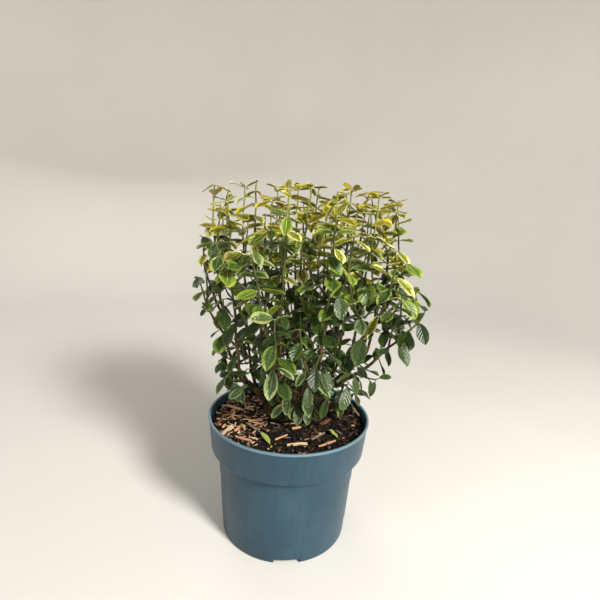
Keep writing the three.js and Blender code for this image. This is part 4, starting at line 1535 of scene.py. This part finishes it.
def leaf_material(name, colour):
    """A leathery leaf: one plain colour, side veins and pores in relief, a soft sheen."""
    finish = Finish(f"leaf_{name}")
    finish.set(Base_Color=linear(colour), Specular_IOR_Level=0.36, Subsurface_Weight=LEAF_GLOW,
               Subsurface_Radius=(1, 1.2, 0.4), Subsurface_Scale=LEAF_THICKNESS * MM)
    blade = finish.node("ShaderNodeUVMap", uv_map="Blade").outputs["UV"]
    across, along, _ = finish.node("ShaderNodeSeparateXYZ", {"Vector": blade}).outputs
    side = finish.math("ABSOLUTE", finish.math("SUBTRACT", across, 0.5))
    slant = finish.math("MULTIPLY_ADD", side, -VEIN_SLANT, along)
    veins = finish.math("SINE", finish.math("MULTIPLY", slant, TAU * BLADE_VEINS))
    pores = finish.noise(EVEN, 900, 3)
    finish.bump(finish.math("MULTIPLY_ADD", veins, 0.6, pores), 0.5, 0.35)
    finish.rough(pores, 0.24, 0.42)
    return finish.material


def shoot_material(name, colour):
    finish = Finish(name)
    finish.set(Base_Color=linear(colour), Specular_IOR_Level=0.35)
    fibres = finish.noise((1, 1, 0.12), 1400, 3)
    finish.bump(fibres, 0.4, 0.2)
    finish.rough(fibres, 0.45, 0.7)
    return finish.material


def bark_material():
    finish = Finish("bark")
    finish.set(Specular_IOR_Level=0.25)
    furrows = finish.noise((1, 1, 0.18), 900, 6, 0.65)
    patches = finish.noise((1, 1, 0.6), 160, 3)
    mixed = finish.math("MULTIPLY_ADD", furrows, 0.7, patches)
    finish.paint(finish.ramp(finish.spread(mixed, 0.55, 1.15), (0, (32, 27, 16)),
                             (0.35, (62, 49, 27)), (0.65, (93, 75, 43)), (1, (130, 108, 68))))
    finish.bump(furrows, 0.7, 0.5)
    finish.rough(furrows, 0.7, 0.92)
    return finish.material


def pot_material():
    """Moulded plastic: faint upright streaks, a dusty bloom and a painted highlight along the lip.
    """
    finish = Finish("pot_plastic")
    finish.set(Specular_IOR_Level=0.26)
    streaks = finish.noise((1, 1, 0.02), 240, 5, 0.6)
    cloud = finish.noise(EVEN, 22)
    mixed = finish.spread(finish.math("MULTIPLY_ADD", streaks, 0.65, cloud), 0.5, 1.15)
    plastic = finish.ramp(mixed, (0, (36, 60, 75)), (0.5, (44, 69, 84)), (1, (53, 81, 96)))
    # Painted highlight: the top of the lip fades to a paler blue-grey
    place = finish.node("ShaderNodeSeparateXYZ", {"Vector": finish.stretched(EVEN)})
    lip_foot = POT_HEIGHT - LIP_HEIGHT
    lip = finish.spread(place.outputs["Z"], lip_foot * MM, (lip_foot + LIP_FADE) * MM)
    plastic_with_lip_highlight = finish.node("ShaderNodeMix", {"Factor": lip, "A": plastic, "B": linear(LIP_HIGHLIGHT_COLOUR)},
                       data_type="RGBA")
    finish.paint(plastic_with_lip_highlight.outputs["Result"])
    finish.bump(finish.noise(EVEN, 1500, 3), 0.12, 0.12)
    finish.rough(streaks, 0.3, 0.5)
    return finish.material


def compost_material():
    finish = Finish("compost")
    finish.set(Specular_IOR_Level=0.2)
    grains = finish.noise(EVEN, 420, 6, 0.7)
    finish.paint(finish.ramp(grains, (0.3, (8, 6, 5)), (0.5, (20, 16, 12)),
                             (0.64, (30, 23, 17)), (0.75, (48, 38, 28))))
    finish.bump(grains, 1, 1.2)
    finish.rough(grains, 0.8, 0.98)
    return finish.material


def chip_material(name, colour):
    """Split bark and wood: one plain colour with its fibres in relief."""
    finish = Finish(name)
    finish.set(Base_Color=linear(colour), Specular_IOR_Level=0.2)
    fibres = finish.noise((0.35, 1, 1), 1300, 5, 0.7)
    finish.bump(fibres, 0.8, 0.5)
    finish.rough(fibres, 0.7, 0.95)
    return finish.material


def floor_material():
    finish = Finish("studio_floor")
    finish.set(Roughness=0.9, Specular_IOR_Level=0.1)
    cloud = finish.noise(EVEN, 3, 2)
    finish.paint(finish.ramp(cloud, (0, (214, 211, 206)), (1, (222, 219, 214))))
    return finish.material


# Studio: the camera's place and sensor are in millimetres, the rest is in metres

CAMERA_PLACE = (4.6545, -436.034, 344.4645)
CAMERA_PITCH = 0.2070295
CAMERA_ROLL = 0.0588671
FOCAL_PIXELS = 437.9
FRAME_PIXELS = 600
SENSOR = 36
CLIP = (0.01, 50)
COVE_FLOOR = 1.2
COVE_BEND = 1
COVE_HEIGHT = 1.6
COVE_STEPS = 16
COVE_SIDES = 128
SKY = (232, 231, 226)
SKY_STRENGTH = 0.22

# Lights: place, size, power and colour
LIGHTS = {
    "key_light": ((1, -1.2, 1.25), 0.45, 60, (1, 0.98, 0.93)),
    "fill_light": ((-0.9, -1.2, 0.9), 1, 4, (1, 0.99, 0.97)),
    "back_light": ((-0.7, 1.4, 1.2), 1.2, 8, (1, 0.99, 0.95)),
}
LIGHT_AIM = (0, 0, 0.2)


def studio_camera():
    pitch, roll = CAMERA_PITCH, CAMERA_ROLL
    ahead = Vector((0, math.cos(pitch), -math.sin(pitch)))
    up = Vector((0, math.sin(pitch), math.cos(pitch)))
    right = Vector((1, 0, 0))
    across = right * math.cos(roll) + up * math.sin(roll)
    rise = up * math.cos(roll) - right * math.sin(roll)
    data = bpy.data.cameras.new("studio_camera")
    data.sensor_width, data.lens = SENSOR, FOCAL_PIXELS * SENSOR / FRAME_PIXELS
    data.clip_start, data.clip_end = CLIP
    camera = add_object("studio_camera", data)
    turn = Matrix((across, rise, -ahead)).transposed().to_4x4()
    camera.matrix_world = Matrix.Translation(Vector(CAMERA_PLACE) * MM) @ turn
    bpy.context.scene.camera = camera


def lights():
    for name, (place, size, power, colour) in LIGHTS.items():
        data = bpy.data.lights.new(name, "AREA")
        data.shape, data.size, data.energy, data.color = "DISK", size, power, colour
        lamp = add_object(name, data)
        lamp.location = place
        lamp.rotation_mode = "QUATERNION"
        lamp.rotation_quaternion = (Vector(LIGHT_AIM) - Vector(place)).to_track_quat("-Z", "Y")


def cove():
    """A pale floor that curves up all round into a wall."""
    profile = [(COVE_FLOOR * step / COVE_STEPS, 0) for step in range(1, COVE_STEPS + 1)]
    for step in range(1, COVE_STEPS + 1):
        angle = step / COVE_STEPS * TAU / 4
        profile.append((COVE_FLOOR + COVE_BEND * math.sin(angle), COVE_BEND * (1 - math.cos(angle))))
    profile.append((COVE_FLOOR + COVE_BEND, COVE_HEIGHT))
    quads, _ = closed_faces(len(profile), COVE_SIDES)
    faces = [tuple(range(COVE_SIDES)), *quads[:, ::-1].tolist()]
    mesh = bpy.data.meshes.new("studio_cove")
    mesh.from_pydata(spun(profile, COVE_SIDES).tolist(), [], faces, shade_flat=False)
    mesh.materials.append(floor_material())
    add_object("studio_cove", mesh)


def studio():
    studio_camera()
    lights()
    world = bpy.data.worlds.new("studio_world")
    world.use_nodes = True
    sky = world.node_tree.nodes["Background"]
    sky.inputs["Color"].default_value = linear(SKY)
    sky.inputs["Strength"].default_value = SKY_STRENGTH
    bpy.context.scene.world = world
    bpy.context.scene.view_settings.view_transform = "Standard"
    cove()


# Putting it together


def ride(piece, slot, *nodes):
    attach(piece, "root")
    if nodes:
        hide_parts(*nodes)


def foliage_pieces(masses, leaves, leaf_materials, shoot_materials):
    """Leaves and twigs, each kind joined for every group of masses."""
    for group, names in GROUPS.items():
        nodes = [f"{name}_foliage" for name in names]
        blades = leaf_sheet([leaf for name in names for leaf in leaves[name]])
        ride(blades.to_object(f"{group}_leaves", leaf_materials), "foliage", *nodes)
        twigs = twig_sheet([shoot for name in names for shoot in masses[name]])
        ride(twigs.to_object(f"{group}_twigs", shoot_materials), "foliage", *nodes)


def plant():
    boughs = {name: bough_path(mass) for name, mass in MASSES.items()}
    masses = grow_shoots(boughs)
    leaves = grow_leaves(masses, boughs)
    leaf_materials = [leaf_material(name, colour) for name, colour in COLOURS.items()]
    shoot_materials = [shoot_material(name, colour) for name, colour in SHOOT_COLOURS.items()]
    foliage_pieces(masses, leaves, leaf_materials, shoot_materials)
    bark = bark_material()
    for stem in STEMS:
        wood_piece(stem, boughs, bark)
    fallen_leaves_piece(leaf_materials)


def potting():
    pot_piece(pot_material())
    compost_piece(compost_material())
    chips_piece([chip_material(name, look[0]) for name, look in CHIP_COLOURS.items()])
    crumbs_piece([chip_material(name, colour) for name, colour in CRUMB_COLOURS.items()])


studio()
plant()
potting()
